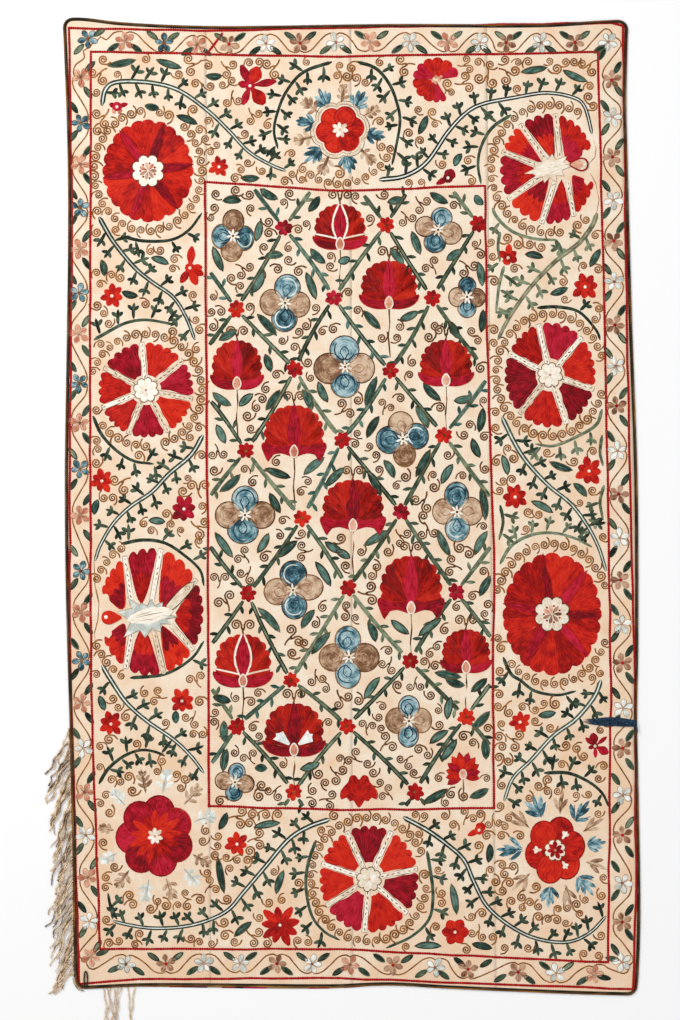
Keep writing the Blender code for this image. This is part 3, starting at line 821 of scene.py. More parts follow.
class Taken:
    """A rough map of where the chart is stitched, so that curls fill only what is left."""

    def __init__(self, width: int = 680, height: int = 1020) -> None:
        """Starts with a bare chart."""
        self.map = np.zeros((height, width), bool)

    def mark(self, points: Points) -> None:
        """Marks the units that points lie in."""
        u = np.clip(points[:, 0].astype(int), 0, self.map.shape[1] - 1)
        v = np.clip(points[:, 1].astype(int), 0, self.map.shape[0] - 1)
        self.map[v, u] = True

    def block(self, u: float, v: float, wide: float, tall: float) -> None:
        """Marks a whole oval."""
        rows, columns = np.mgrid[int(v - tall):int(v + tall) + 2, int(u - wide):int(u + wide) + 2]
        inside = ((columns + 0.5 - u) / wide) ** 2 + ((rows + 0.5 - v) / tall) ** 2 < 1
        self.map[int(v - tall):int(v + tall) + 2, int(u - wide):int(u + wide) + 2] |= inside

    def copy(self) -> Taken:
        """The map as it is now."""
        other = Taken()
        other.map = self.map.copy()
        return other

    def free(self, u: float, v: float, reach: float) -> bool:
        """Whether nothing is stitched within reach of a place."""
        low_u, low_v = int(u - reach), int(v - reach)
        span = int(2 * reach) + 1
        patch = self.map[low_v:low_v + span, low_u:low_u + span]
        rows, columns = np.nonzero(patch)
        return not np.any((columns + low_u + 0.5 - u) ** 2 + (rows + low_v + 0.5 - v) ** 2 < reach**2)


def show(obj: Object, replaced: Sequence[str] = ()) -> Object:
    """Puts a finished piece in the scene.

    Args:
        obj: the piece, with its place in its mesh.
        replaced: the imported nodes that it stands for.

    Returns:
        The piece.
    """
    if obj.name not in bpy.context.scene.collection.objects:
        bpy.context.scene.collection.objects.link(obj)
    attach(obj, BODY)
    if replaced:
        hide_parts(*replaced)
    log.info("%s: %d faces", obj.name, len(obj.data.polygons))
    return obj


@dataclass
class GroundCloth:
    """The four loom widths, finer than their solids and on the same ripples."""

    cloth: Cloth
    shop: Workshop
    columns: int = 34
    rows: int = 230

    def outline_share(self, number: int, row_share: Points) -> tuple[Points, Points]:
        """The two sides of a panel at shares of the way up, from the chart's middle."""
        y = HALF_LENGTH * (2 * row_share - 1)
        to_edge = np.minimum(row_share, 1 - row_share) * 2 * HALF_LENGTH
        short = CORNER_RADIUS - np.clip(to_edge, 0.0, CORNER_RADIUS)
        inset = CORNER_RADIUS - np.sqrt(CORNER_RADIUS**2 - short**2) + BRAID_WIDTH + GAP
        if number == 0:
            left = through(LEFT_EDGE, y) + inset
        else:
            left = self.cloth.seam(number - 1, y) + SEAM_GAP / 2
        if number == len(PANELS) - 1:
            right = through(RIGHT_EDGE, y) - inset
        else:
            right = self.cloth.seam(number, y) - SEAM_GAP / 2
        return left, right

    def panel(self, number: int, material: Material) -> Object:
        end = CORNER_RADIUS / (2 * HALF_LENGTH)
        corner = end * (1 - np.cos(np.linspace(0, np.pi / 2, 6)))
        shares = np.concatenate((corner, np.linspace(end, 1 - end, self.rows)[1:-1], 1 - corner[::-1]))
        left, right = self.outline_share(number, shares)
        across = np.linspace(0, 1, self.columns + 1)
        x = left[:, None] + (right - left)[:, None] * across
        low = through(BOTTOM_EDGE, x) + BRAID_WIDTH + GAP
        high = through(TOP_EDGE, x) - BRAID_WIDTH - GAP
        y = low + (high - low) * shares[:, None]
        z = self.cloth.face(x, y)
        top = np.stack((x + self.cloth.shift[0], y + self.cloth.shift[1], z), axis=-1)
        rows, columns = x.shape
        points = np.concatenate((top.reshape(-1, 3), (top - (0, 0, CLOTH_THICKNESS)).reshape(-1, 3)))
        index = np.arange(rows * columns).reshape(rows, columns)
        quads = np.stack(
            (index[:-1, :-1], index[:-1, 1:], index[1:, 1:], index[1:, :-1]), axis=-1
        ).reshape(-1, 4)
        rim = np.concatenate((index[0, :], index[1:, -1], index[-1, -2::-1], index[-2:0:-1, 0]))
        under = rows * columns
        walls = np.column_stack((rim + under, np.roll(rim, -1) + under, np.roll(rim, -1), rim))
        faces = np.concatenate((quads, quads[:, ::-1] + under, walls))
        name = PANELS[number].replace("panel", "cloth")
        mesh = bpy.data.meshes.new(name)
        mesh.from_pydata(points.tolist(), [], faces.tolist())
        mesh.materials.append(material)
        mesh.shade_smooth()
        obj = show(bpy.data.objects.new(name, mesh), [PANELS[number]])
        return obj

    def build(self) -> list[Object]:
        """Weaves all four."""
        material = CottonFinish().material(self.shop)
        return [self.panel(number, material) for number in range(len(PANELS))]


@dataclass
class LiningCloth:
    """The striped cotton lining, a flat sheet that shows only where it has slipped down."""

    cloth: Cloth
    shop: Workshop
    thickness: float = 0.0007
    stripes: tuple[tuple[float, tuple[int, int, int]], ...] = (
        (0.00, (176, 150, 120)), (0.10, (170, 30, 24)), (0.22, (196, 170, 140)), (0.30, (150, 36, 30)),
        (0.42, (96, 40, 92)), (0.50, (206, 186, 160)), (0.60, (158, 60, 50)), (0.68, (26, 22, 26)),
        (0.74, (196, 30, 96)), (0.86, (186, 160, 120))
    )

    def material(self) -> Material:
        """Makes the striped print, with stripes that run down the cloth."""
        sketch, shader = self.shop.start("printed_lining", 0.9, 0.1)
        place = sketch.add("ShaderNodeTexCoord").outputs["Object"]
        parts = sketch.add("ShaderNodeSeparateXYZ", Vector=place)
        waver = sketch.add("ShaderNodeTexNoise", Vector=place, Scale=14.0, Detail=3.0)
        wide = sketch.math("ADD", sketch.math("MULTIPLY", parts.outputs["X"], 2.3), 4.23)
        bent = sketch.math("ADD", wide, sketch.math("MULTIPLY", waver.outputs["Fac"], 0.12))
        colour = sketch.ramp(sketch.math("FRACT", bent), [(p, linear(c)) for p, c in self.stripes])
        colour.node.color_ramp.interpolation = "CONSTANT"
        weave = sketch.add("ShaderNodeGroup", {"node_tree": self.shop.weave})
        dark = sketch.add("ShaderNodeMix", {"data_type": "RGBA", "blend_type": "MULTIPLY"}, n6=colour)
        sketch.feed(dark.inputs[0], sketch.math("MULTIPLY", weave.outputs["Slub"], 0.5))
        dark.inputs[7].default_value = linear((206, 190, 176))
        sketch.feed(shader.inputs["Base Color"], dark.outputs[2])
        self.shop.bump(sketch, shader, weave.outputs["Relief"], 0.0002, 0.4)
        return self.shop.made["printed_lining"]

    def build(self) -> Object:
        """Cuts the lining to its solid's outline, as a thinner closed sheet."""
        solid = frame["nodes"]["lining"].data
        low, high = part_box("lining")
        mesh = solid.copy()
        mesh.name = "lining_cloth"
        mesh.materials.clear()
        mesh.materials.append(self.material())
        for vertex in mesh.vertices:
            if vertex.co.z > high.z / 2:
                vertex.co.z = self.thickness
        for attribute in [a for a in mesh.attributes if a.name.startswith("custom_normal")]:
            mesh.attributes.remove(attribute)
        obj = show(bpy.data.objects.new("lining_cloth", mesh), ["lining"])
        return obj


def petal_outline(length: float, width: float, fullness: float = 1.35, points: int = 6) -> Points:
    """A petal's outline from its root at the origin, broadest towards its round tip."""
    t = 1 - np.cos(np.linspace(0, np.pi / 2, points)) if fullness < 1 else np.linspace(0, 1, points)
    half = width / 2 * np.sin(np.pi * t**fullness) ** 0.75
    half[0] = width * 0.10
    half[-1] = width * 0.14
    upper = np.column_stack((t * length, half))
    return np.vstack((upper, upper[::-1] * (1, -1)))


def wedge_outline(
    wide: float, tall: float, span: tuple[float, float], inner: float, lobes: int, gap: float = 0.0,
    depth: float = 0.07
) -> Points:
    """A wedge of a round flower, with a scalloped rim.

    Args:
        wide: half the flower's width.
        tall: half the flower's height.
        span: the angles that it reaches from and to, in degrees.
        inner: how far in it reaches, as a share of the radius.
        lobes: how many scallops its rim has.
        gap: the width kept free along each of its sides, in chart units.
        depth: how deep the notches are, as a share of the radius.

    Returns:
        The outline, anticlockwise.
    """
    radius = (wide + tall) / 2
    first, last = sorted(span)
    steps = lobes * 5
    share = np.linspace(0, 1, steps + 1)

    def turns(at: float, count_shares: Points) -> Points:
        """The angles that the wedge spans at a share of the radius, less the gaps."""
        inset = math.degrees(math.asin(min(0.98, gap / (radius * at))))
        middle = (first + last) / 2
        low, high = min(first + inset, middle), max(last - inset, middle)
        true = np.radians(low + (high - low) * count_shares)
        return np.arctan2(np.sin(true) / tall, np.cos(true) / wide)

    rim_turn = turns(1.0, share)
    swell = 1 - depth + depth * np.abs(np.sin(np.pi * share * lobes)) ** 0.6
    rim = np.column_stack((wide * swell * np.cos(rim_turn), tall * swell * np.sin(rim_turn)))
    root_turn = turns(inner, np.array([1.0, 0.5, 0.0]))
    root = np.column_stack((wide * inner * np.cos(root_turn), tall * inner * np.sin(root_turn)))
    middle_turn = turns((1 + inner) / 2, np.array([1.0, 0.0]))
    waist = np.column_stack((wide * np.cos(middle_turn), tall * np.sin(middle_turn))) * (1 + inner) / 2
    return np.vstack((rim, waist[:1], root, waist[1:]))


def notched(outline: Points, cuts: Sequence[tuple[float, float, float]]) -> Points:
    """Presses round notches in an outline.

    Args:
        outline: the outline.
        cuts: each notch's middle, on the free side of the outline, and its radius.

    Returns:
        The outline, with points close together where there are notches.
    """
    for a, b, radius in cuts:
        ends = np.roll(outline, -1, axis=0)
        steps = [max(2, int(np.hypot(*(end - start)) / 2)) for start, end in zip(outline, ends)]
        outline = np.vstack([
            start + (end - start) * (np.arange(count) / count)[:, None]
            for start, end, count in zip(outline, ends, steps)
        ])
        away = outline - (a, b)
        far = np.maximum(np.hypot(away[:, 0], away[:, 1]), 0.01)
        outline = (a, b) + away * np.maximum(1.0, radius / far)[:, None]
    return outline


class Embroidery(Stitching):
    """Stitching with the motifs that many parts of the design share."""

    def disc(
        self, place: Place, radius: float, silk: Silk, layer: int = 1, points: int = 9, tall: float = 1.0
    ) -> None:
        """Fills a small round."""
        turn = np.arange(points) / points * 2 * np.pi
        ring = np.column_stack((radius * np.cos(turn), radius * tall * np.sin(turn)))
        self.fill(place.at(ring), silk, layer=layer, shares=(1.0, 0.72))

    def petal(
        self, place: Place, inner: float, outer: float, width: float, silk: Silk, layer: int = 0,
        fullness: float = 1.35
    ) -> None:
        """Fills a petal that points along the place's own right.

        Args:
            place: the flower's middle, turned the petal's way.
            inner: how far from the middle it starts.
            outer: how far from the middle it ends.
            width: how broad it is.
            silk: its silk.
            layer: how many fillings lie below it.
            fullness: over 1 to be broader towards its tip.
        """
        outline = petal_outline(outer - inner, width, fullness) + (inner, 0)
        source = place.at([(inner, 0)])[0]
        self.fill(place.at(outline), silk, lay=Lay.LENGTHWISE, source=source, layer=layer)

    def flower(
        self, place: Place, count: int, reach: float, width: float, silk: Silk, heart: Silk | None = None,
        layer: int = 0, start: float = 90.0
    ) -> None:
        """Fills a small flower of loose petals.

        Args:
            place: where its middle goes.
            count: how many petals it has.
            reach: the petals' length.
            width: the petals' width.
            silk: the petals' silk.
            heart: the silk of its small round middle, if it has one.
            layer: how many fillings lie below it.
            start: the angle of its first petal, in degrees.
        """
        self.disc(place, reach * 0.42, silk, layer, points=8)
        for number in range(count):
            turn = place.turn + start + number * 360 / count + self.rng.uniform(-7, 7)
            size = place.size * (1 + self.rng.uniform(-0.09, 0.09))
            self.petal(Place(place.u, place.v, turn, size), reach * 0.10, reach, width, silk, layer)
        if heart is not None:
            self.disc(place, max(1.3, reach * 0.17), heart, layer + 2, points=7)

    def leaf(
        self, place: Place, length: float, width: float, silk: Silk = Silk.TEAL, rim: Silk = Silk.BOTTLE,
        bend: float = 0.0
    ) -> None:
        """Fills a long leaf, centred on its place, in one green with a darker edge.

        Args:
            place: the leaf's middle, turned the way it points.
            length: its length.
            width: its width.
            silk: the silk inside.
            rim: the silk of its edge.
            bend: how far its middle bows out, in chart units.
        """
        outline = lens(length, width, points=7, sharp=0.62) - (length / 2, 0)
        outline[:, 1] += bend * (1 - (2 * outline[:, 0] / length) ** 2)
        drawn = place.at(outline)
        self.fill(drawn, silk, lay=Lay.LENGTHWISE, source=drawn[0], shares=(1.0, 0.8, 0.4))
        self.edge(drawn, 1.25, rim)
        if length > 15:
            self.edge(place.at(outline * (1.05, 1.12)), 0.7, Silk.RUST)
            self.line(
                place.at([(-length * 0.32, bend * 0.5), (0, bend), (length * 0.32, bend * 0.5)]), 1.1,
                Silk.SAGE, layer=1
            )

    def frond(
        self, place: Place, reach: float, silk: Silk, lobes: Sequence[tuple[float, float, float]],
        width: float = 4.2, layer: int = 0
    ) -> None:
        """Fills a leaf of fingers: a long one that points along its place's right, and pairs beside it.

        Args:
            place: where its stalk starts, turned the way it points.
            reach: its length.
            silk: its silk.
            lobes: each pair's root and length, as shares of the reach, and its angle in degrees.
            width: how broad a finger is.
            layer: how many fillings lie below it.
        """
        bend = self.rng.uniform(-0.05, 0.05) * reach
        spine = lens(reach, width, 7, 0.28)
        spine[:, 1] += bend * np.sin(np.pi * spine[:, 0] / reach)
        self.fill(
            place.at(spine), silk, lay=Lay.LENGTHWISE, source=(place.u, place.v), shares=(1.0, 0.6),
            layer=layer
        )
        for root, length, turn in lobes:
            for side in (1, -1):
                tip = place.near(
                    reach * root, bend, side * turn + self.rng.uniform(-8, 8), self.rng.uniform(0.88, 1.12)
                )
                finger = tip.at(lens(reach * length, width * 1.08, 5, 0.42))
                self.fill(
                    finger, silk, lay=Lay.LENGTHWISE, source=(tip.u, tip.v), shares=(1.0, 0.6), layer=layer
                )

    def outlined(self, drawn: Points, silk: Silk, rim: Silk, width: float = 0.9, **how: object) -> None:
        """Fills a shape and runs a thin line round it."""
        self.fill(drawn, silk, **how)
        self.edge(drawn, width, rim, layer=int(how.get("layer", 0)) + 1)


@dataclass
class Needlework:
    """What every part of the embroidery is given: the cloth, the silks and the map of stitched places."""

    cloth: Cloth
    shop: Workshop
    taken: Taken

    def start(self, name: str) -> Embroidery:
        """Starts a piece of stitching."""
        return Embroidery(name, self.cloth, self.shop, self.taken)


class Sector(NamedTuple):
    """A wedge of a flower wheel: its two angles in degrees, its silk and that of its inner part."""

    start: float
    end: float
    silk: Silk
    inner: Silk | None = None


class Wheel(NamedTuple):
    """A large flower of the wide border, by its middle and its half width and half height.

    In a fan, the wedges start from a line: the start of one at an angle is moved across by
    the first value and the second times its cosine, and up by the third. The fourth
    narrows the flower's right half.
    """

    name: str
    u: float
    v: float
    wide: float
    tall: float
    fan: tuple[float, float, float, float] = (0.0, 0.0, 0.0, 1.0)

    def fanned(self, points: Sequence[tuple[float, float]] | Points) -> Points:
        """Moves points of a round flower to where they lie in the fan."""
        points = np.asarray(points, dtype=float)
        away = np.hypot(points[:, 0], points[:, 1])
        share = np.clip(1 - np.hypot(points[:, 0] / self.wide, points[:, 1] / self.tall), 0, 1)
        across = self.fan[0] + self.fan[1] * points[:, 0] / np.maximum(away, 0.1)
        narrow = np.where(points[:, 0] > 0, self.fan[3], 1.0)
        return np.column_stack((points[:, 0] * narrow + share * across, points[:, 1] + share * self.fan[2]))


R, C = Silk.RED, Silk.CRIMSON


@dataclass
class Roundels(Needlework):
    """The ten large flowers of the wide border."""

    spoke: float = 2.9
    full: tuple[tuple[Wheel, float, tuple[float, ...]], ...] = (
        (Wheel("roundel_top_left", 148, 171, 46, 52), 16.5, (72, 8, -52, -110, -172, 126)),
        (Wheel("roundel_right_low", 552, 614, 50, 62), 18.0, (98, 52, -3, -50, -118, 168))
    )
    spoked: tuple[tuple[Wheel, tuple[Sector, ...]], ...] = (
        (Wheel("roundel_left_high", 146, 390, 48, 48), rows_of(
            Sector, (95, 152, C), (39, 95, R), (-11, 39, C), (-62, -11, R), (-112, -62, C), (-158, -112, R),
            (152, 202, R)
        )),
        (Wheel("roundel_right_high", 550, 375, 46, 53), rows_of(
            Sector, (103, 152, R), (50, 103, C), (-18, 50, R), (-71, -18, C), (-128, -71, R), (152, 232, C)
        )),
        (Wheel("roundel_bottom_middle", 369, 879, 50, 54), rows_of(
            Sector, (65, 115, C), (12, 65, R), (-42, 12, C), (-95, -42, R), (-148, -95, C), (115, 162, R),
            (162, 212, R)
        ))
    )
    feathered: tuple[tuple[Wheel, bool, tuple[Sector, ...]], ...] = (
        (
            Wheel("roundel_top_right", 550, 169, 51, 56, (10, 12, -1, 0.90)), False,
            rows_of(
                Sector, (84, 124, C, R), (124, 160, R, C), (160, 216, C, R), (-144, -99, R, C),
                (-99, -61, C, R), (-61, -12, R, C), (22, 84, R, C)
            )
        ),
        (Wheel("roundel_left_low", 151, 612, 53, 65, (-6, 26, -5, 1.0)), True, rows_of(
            Sector, (81, 115, C, R), (115, 161, R, C), (36, 81, R, C), (-42, 36, C, R), (-78, -42, R, C),
            (-114, -78, C, R), (-154, -114, R, C)
        ))
    )
    right_tips: tuple[tuple[float, float], ...] = (
        (22, 3), (17, 12.5), (2, 15), (-8, 13), (-16, 7), (-26, -5), (-16, -10), (-6, -14), (6, -13), (14, -7)
    )
    left_tips: tuple[tuple[float, float], ...] = (
        (27, -5), (21, 2), (12, 10), (0, 13), (-10, 9), (-24, 15), (-33, 0), (-27, -25), (-6, -26), (10, -20),
        (20, -12)
    )
    tendril_gap: float = 8.0

    def heart(self, work: Embroidery, place: Place, radius: float, flower: bool) -> None:
        """Fills a white scalloped middle, with a small flower in it if there is one."""
        work.outlined(
            place.at(scallops(radius, radius, 8, 0.22)), Silk.CREAM, Silk.RUST, 0.8, layer=2, crown=1.2
        )
        if flower:
            for number in range(7):
                petal = Place(place.u, place.v, number * 360 / 7)
                work.petal(petal, 1.0, radius * 0.54, 3.9, work.rng.choice((Silk.BRICK, Silk.ROSE)), layer=4)
                work.disc(
                    petal._replace(turn=petal.turn + 26).near(radius * 0.46, 0), 1.2, Silk.LINE, 4, points=6
                )

    def full_flower(self, wheel: Wheel, heart: float, rays: tuple[float, ...]) -> Object:
        """Makes a red flower that is scalloped all round, with crimson rays."""
        work = self.start(wheel.name)
        place = Place(wheel.u, wheel.v)
        count = 12
        for number in range(count):
            start = number * 360 / count + 4
            outline = wedge_outline(
                wheel.wide, wheel.tall, (start, start + 360 / count + 5.0), 0.22, 2, depth=0.07
            )
            work.fill(place.at(outline), Silk.RED, lay=Lay.FAN, source=place.at([(0, 0)])[0], crown=1.1)
        for turn in rays:
            ray = place._replace(turn=turn)
            reach = self.radius(wheel, turn)
            outline = [(heart * 0.8, 4.2), (reach * 0.55, 4.6), (reach * 0.82, 3.2), (reach * 1.0, 0.2)]
            outline = outline + [(reach * 0.80, -3.4), (reach * 0.55, -4.4), (heart * 0.8, -4.2)]
            bent = np.asarray(outline) + np.column_stack((
                np.zeros(7), work.rng.uniform(-1, 1) * np.linspace(0, 2, 7)
            ))
            work.outlined(
                ray.at(bent), Silk.CRIMSON, Silk.DEEP, 0.8, lay=Lay.LENGTHWISE, source=ray.at([(0, 0)])[0],
                layer=1
            )
        self.heart(work, place, heart, True)
        self.taken.block(wheel.u, wheel.v, wheel.wide, wheel.tall)
        return work.piece()

    def radius(self, wheel: Wheel, turn: float) -> float:
        """How far a wheel's rim is from its middle at an angle."""
        c, s = math.cos(math.radians(turn)) / wheel.wide, math.sin(math.radians(turn)) / wheel.tall
        return 1 / math.hypot(c, s)

    def sectors(
        self, work: Embroidery, wheel: Wheel, sectors: Sequence[Sector], inner: float,
        cuts: Sequence[tuple[float, ...]] = ()
    ) -> None:
        """Fills a wheel's wedges, the inner part of each in its second silk, with round notches."""
        place = Place(wheel.u, wheel.v)
        source = (wheel.u, wheel.v)
        for sector in sectors:
            lobes = max(3, round((sector.end - sector.start) / 13))
            span = (sector.start, sector.end)
            halves = [(span[0], sum(span) / 2 + 1), (sum(span) / 2 - 1, span[1])]
            outline = notched(
                wedge_outline(wheel.wide, wheel.tall, span, inner, lobes, self.spoke, 0.075), cuts
            )
            work.fill(place.at(wheel.fanned(outline)), sector.silk, lay=Lay.FAN, source=source, crown=1.1)
            if sector.inner is not None:
                core = wedge_outline(
                    wheel.wide * 0.66, wheel.tall * 0.66, span, inner / 0.66, 3, self.spoke + 1.2, 0.16
                )
                work.fill(
                    place.at(wheel.fanned(notched(core, cuts))), sector.inner, lay=Lay.FAN, source=source,
                    layer=1
                )
            for half in halves:
                turn = (half[0] + half[1]) / 2
                reach = self.radius(wheel, turn)
                line = wheel.fanned(
                    Place(0, 0, -turn).at([(reach * 0.5, 0), (reach * 0.72, 0.5), (reach * 0.9, 0)])
                )
                work.line(place.at(line), 1.0, sector.silk, layer=1, crown=0.9)

    def spokes(self, work: Embroidery, wheel: Wheel, turns: Iterable[float], inner: float) -> None:
        """Lays the white spokes, each a cream band with thin brown edges and brown dashes in it."""
        place = Place(wheel.u, wheel.v)
        for turn in turns:
            way = np.array(polar(1.0, turn))
            start, end = inner, self.radius(wheel, turn) * 0.985
            near, far = wheel.fanned([way * start, way * end])
            ray = Place(*place.at([near])[0], math.degrees(math.atan2(far[1] - near[1], far[0] - near[0])))
            long = float(np.hypot(*(far - near)))
            work.line(ray.at([(0, 0), (long / 2, 0.2), (long, 0)]), 4.8, Silk.CREAM, ends=(1.0, 1.0))
            for side in (-2.5, 2.5):
                work.line(ray.at([(0, side * 0.9), (long / 2, side), (long, side)]), 0.9, Silk.RUST)
            work.line(ray.at([(long, -2.5), (long + 0.5, 0), (long, 2.5)]), 0.8, Silk.RUST, ends=(1, 1))
            dashes = max(3, int(long / 5))
            for number in range(dashes):
                at = long * (number + 0.5) / dashes
                lean = work.rng.uniform(-0.9, 0.9)
                thread = work.rng.choice((Silk.TAUPE, Silk.RUST))
                work.line(
                    ray.at([(at - 1.6, -lean), (at, lean * 0.6), (at + 1.6, lean)]), 1.15, thread, layer=1
                )

    def spoked_flower(self, wheel: Wheel, sectors: tuple[Sector, ...]) -> Object:
        """Makes a wheel of wedges parted by white spokes round a white middle."""
        work = self.start(wheel.name)
        self.sectors(work, wheel, sectors, 0.30)
        self.spokes(work, wheel, [sector.start for sector in sectors], 11.0)
        self.heart(work, Place(wheel.u, wheel.v, 10), 12.5, False)
        work.flower(Place(wheel.u, wheel.v), 6, 8.0, 4.2, Silk.CREAM, Silk.ROSE, layer=4)
        self.taken.block(wheel.u, wheel.v, wheel.wide, wheel.tall)
        return work.piece()

    def feather(
        self, work: Embroidery, place: Place, silk: Silk, tips: Sequence[tuple[float, float]]
    ) -> None:
        """Fills the saw-edged feather in a fan flower's middle.

        Args:
            work: the piece.
            place: the flower's middle.
            silk: the silk of its teeth.
            tips: where its teeth end, anticlockwise from the one on the right.
        """
        tips = np.array(tips, dtype=float)
        middle = tips.mean(axis=0)
        notches = middle + ((tips + np.roll(tips, -1, axis=0)) / 2 - middle) * 0.66
        saw = place.at(np.column_stack((tips, notches)).reshape(-1, 2))
        root = place.near(*middle, 12)
        work.outlined(saw, silk, Silk.TAUPE, 0.6, lay=Lay.FAN, source=(root.u, root.v), layer=3)
        long = np.ptp(tips[:, 0])
        work.fill(
            root.at(lens(long * 0.8, long * 0.27, 9, 0.6) - (long * 0.4, 0)), Silk.CREAM, lay=Lay.LENGTHWISE,
            layer=4
        )
        for offset, thread in ((-4.0, Silk.TAUPE), (-0.6, Silk.CREAM), (1.2, Silk.RUST), (3.8, Silk.TAUPE)):
            bow = [(long * 0.26, offset * 0.5), (2, offset), (-long * 0.24, offset * 0.6)]
            work.line(root.at(bow), 0.9, thread, layer=5, crown=0.6)

    def feathered_flower(self, wheel: Wheel, mirrored: bool, sectors: tuple[Sector, ...]) -> Object:
        """Makes a fan flower: spoked wedges round a white feather, with a teardrop at its open side."""
        work = self.start(wheel.name)
        place = Place(wheel.u, wheel.v)
        cuts = ((-39, 10, 9.0), (-37, -16, 9.0)) if mirrored else ((33, 11.5, 7.6), (35, -9, 7.2))
        self.sectors(work, wheel, sectors, 0.17, cuts)
        edges = [angle for sector in sectors for angle in (sector.start, sector.end)]
        spokes = [
            angle for angle in edges
            if sum(1 for other in edges if abs((angle - other + 180) % 360 - 180) < 3) > 1
        ]
        unique = [
            a for i, a in enumerate(spokes) if all(abs((a - b + 180) % 360 - 180) > 3 for b in spokes[:i])
        ]
        self.spokes(work, wheel, unique, 13.0)
        drop = smooth(
            [(28, 0), (34, 4.4), (40.5, 7.0), (46.5, 5.2), (48.5, 0), (46.5, -5.2), (40.5, -7.0), (34, -4.4)],
            2.5, True
        )
        if mirrored:
            band = Place(165, 612, 46)
            work.outlined(
                band.at(lens(42, 9.5, 7, 0.3)), Silk.CREAM, Silk.RUST, 0.9, lay=Lay.LENGTHWISE, layer=2
            )
            work.line(band.near(33, 0).at(spiral((0, 0), 3.4, 1.4, 200, 12)), 1.0, Silk.RUST, layer=3)
            work.line(
                [(94, 560), (95, 585), (99, 603), (98, 620), (94.5, 633), (96, 650), (104, 667)], 1.3,
                Silk.HONEY
            )
            self.feather(work, place, Silk.PALE, self.left_tips)
            facing = place._replace(turn=180)
            work.fill(facing.near(1, 5.5).at(drop), Silk.RED, layer=4, crown=1.1)
            work.disc(facing.near(45, 5), 1.9, Silk.CREAM, layer=6, points=8)
        else:
            self.feather(work, place, Silk.CREAM, self.right_tips)
            work.line([(588, 165), (595, 157), (596, 149), (593.5, 140)], 1.2, Silk.HONEY)
            work.line([(590, 173), (595.5, 183), (599, 200), (596, 216)], 1.2, Silk.HONEY)
            work.outlined(place.near(-4.5, 4.4, 0, 0.87).at(drop), Silk.CREAM, Silk.LINE, 1.8, layer=4)
            work.fill(place.near(3, 4.4, 0, 0.62).at(drop), Silk.ROSE, layer=6)
        self.taken.block(wheel.u, wheel.v, wheel.wide, wheel.tall)
        return work.piece()

    def lobed_flower(
        self, wheel: Wheel, silk: Silk, lobes: int, phase: float, sprigs: Sequence[tuple[float, Silk]],
        reach: float
    ) -> Object:
        """Makes a flower of round lobes with fronds that spring from its rim.

        Args:
            wheel: the flower's place and size.
            silk: the silk of its lobes.
            lobes: how many it has.
            phase: the angle of its first lobe, in degrees.
            sprigs: the angle and the silk of each frond.
            reach: how long a frond is.

        Returns:
            The piece.
        """
        work = self.start(wheel.name)
        place = Place(wheel.u, wheel.v)
        size = np.array((wheel.wide, wheel.tall))
        middle = 0.60 if lobes > 6 else 0.56
        work.fill(
            place.at(scallops(0.7, 0.7, 1, 0.0, 24) * size), silk, lay=Lay.FAN, source=(wheel.u, wheel.v),
            crown=1.4
        )
        for number in range(lobes):
            x, y = polar(middle, phase + number * 360 / lobes)
            for share in (1.0, 0.7):
                lobe = place.at(
                    (scallops((1 - middle) * share, (1 - middle) * share, 1, 0.0, 20) + (x, y)) * size
                )
                if share == 1.0:
                    work.fill(lobe, silk, lay=Lay.FAN, source=(wheel.u, wheel.v), layer=number % 2, crown=1.2)
                work.edge(lobe, 1.2, Silk.DEEP, layer=1 + number % 2)
        if wheel.name == "roundel_top_middle":
            rim = scallops(wheel.wide * 1.17, wheel.tall * 1.17, lobes, 0.14, 8, phase=phase + 180 / lobes)
            work.edge(place.at(rim), 3.0, Silk.CREAM, layer=0)
            work.edge(place.at(rim * 1.06), 1.0, Silk.RUST, layer=0)
            work.edge(place.at(rim * 0.94), 0.8, Silk.TAUPE, layer=0)
        if silk is Silk.CRIMSON:
            for number in range(13):
                ray = place._replace(turn=number * 360 / 13 + 7)
                work.petal(
                    ray, 4, wheel.wide * work.rng.uniform(0.58, 0.76), 9.0, Silk.RED, layer=2, fullness=0.95
                )
        if wheel.name == "roundel_bottom_right":
            self.heart(work, place, 11.0, False)
            work.flower(place, 7, 8.5, 4.6, Silk.LINE, Silk.ROSE, layer=4)
            for turn in (57, 178, -57):
                work.frond(
                    place.near(*polar(13, turn), turn), 9.5, Silk.CREAM, ((0.45, 0.5, 50),), 2.8, layer=3
                )
        else:
            work.flower(place, 7, 8.0, 4.2, Silk.CREAM, Silk.ROSE, layer=4)
        for turn, thread in sprigs:
            spot = place.near(*polar(self.radius(wheel, turn) + 1, turn), turn)
            size = reach * work.rng.uniform(0.9, 1.12)
            while not in_border(*spot.at([(size, 0)])[0], 0.5) and size > 8:
                size *= 0.92
            if thread is Silk.SKY:
                work.frond(spot, size, thread, ((0.06, 0.62, 42), (0.18, 0.68, 21)), 4.8)
            elif wheel.name == "roundel_bottom_right":
                work.frond(spot, size * 1.05, thread, ((0.16, 0.62, 26),), 4.4)
            else:
                work.frond(spot, size, thread, ((0.26, 0.38, 56), (0.46, 0.40, 42), (0.66, 0.30, 32)), 4.0)
            vein = {Silk.SKY: Silk.INK, Silk.PALE: Silk.TAUPE}.get(thread, Silk.RUST)
            for angle in ((-34, 0, 34) if thread is Silk.SKY else (0,)):
                path = spot._replace(turn=turn + angle).at([(2, 0), (size * 0.4, 0), (size * 0.62, 0)])
                work.line(path, 1.0, vein, layer=1, crown=0.7)
        self.taken.block(wheel.u, wheel.v, wheel.wide + 3, wheel.tall + 3)
        return work.piece()

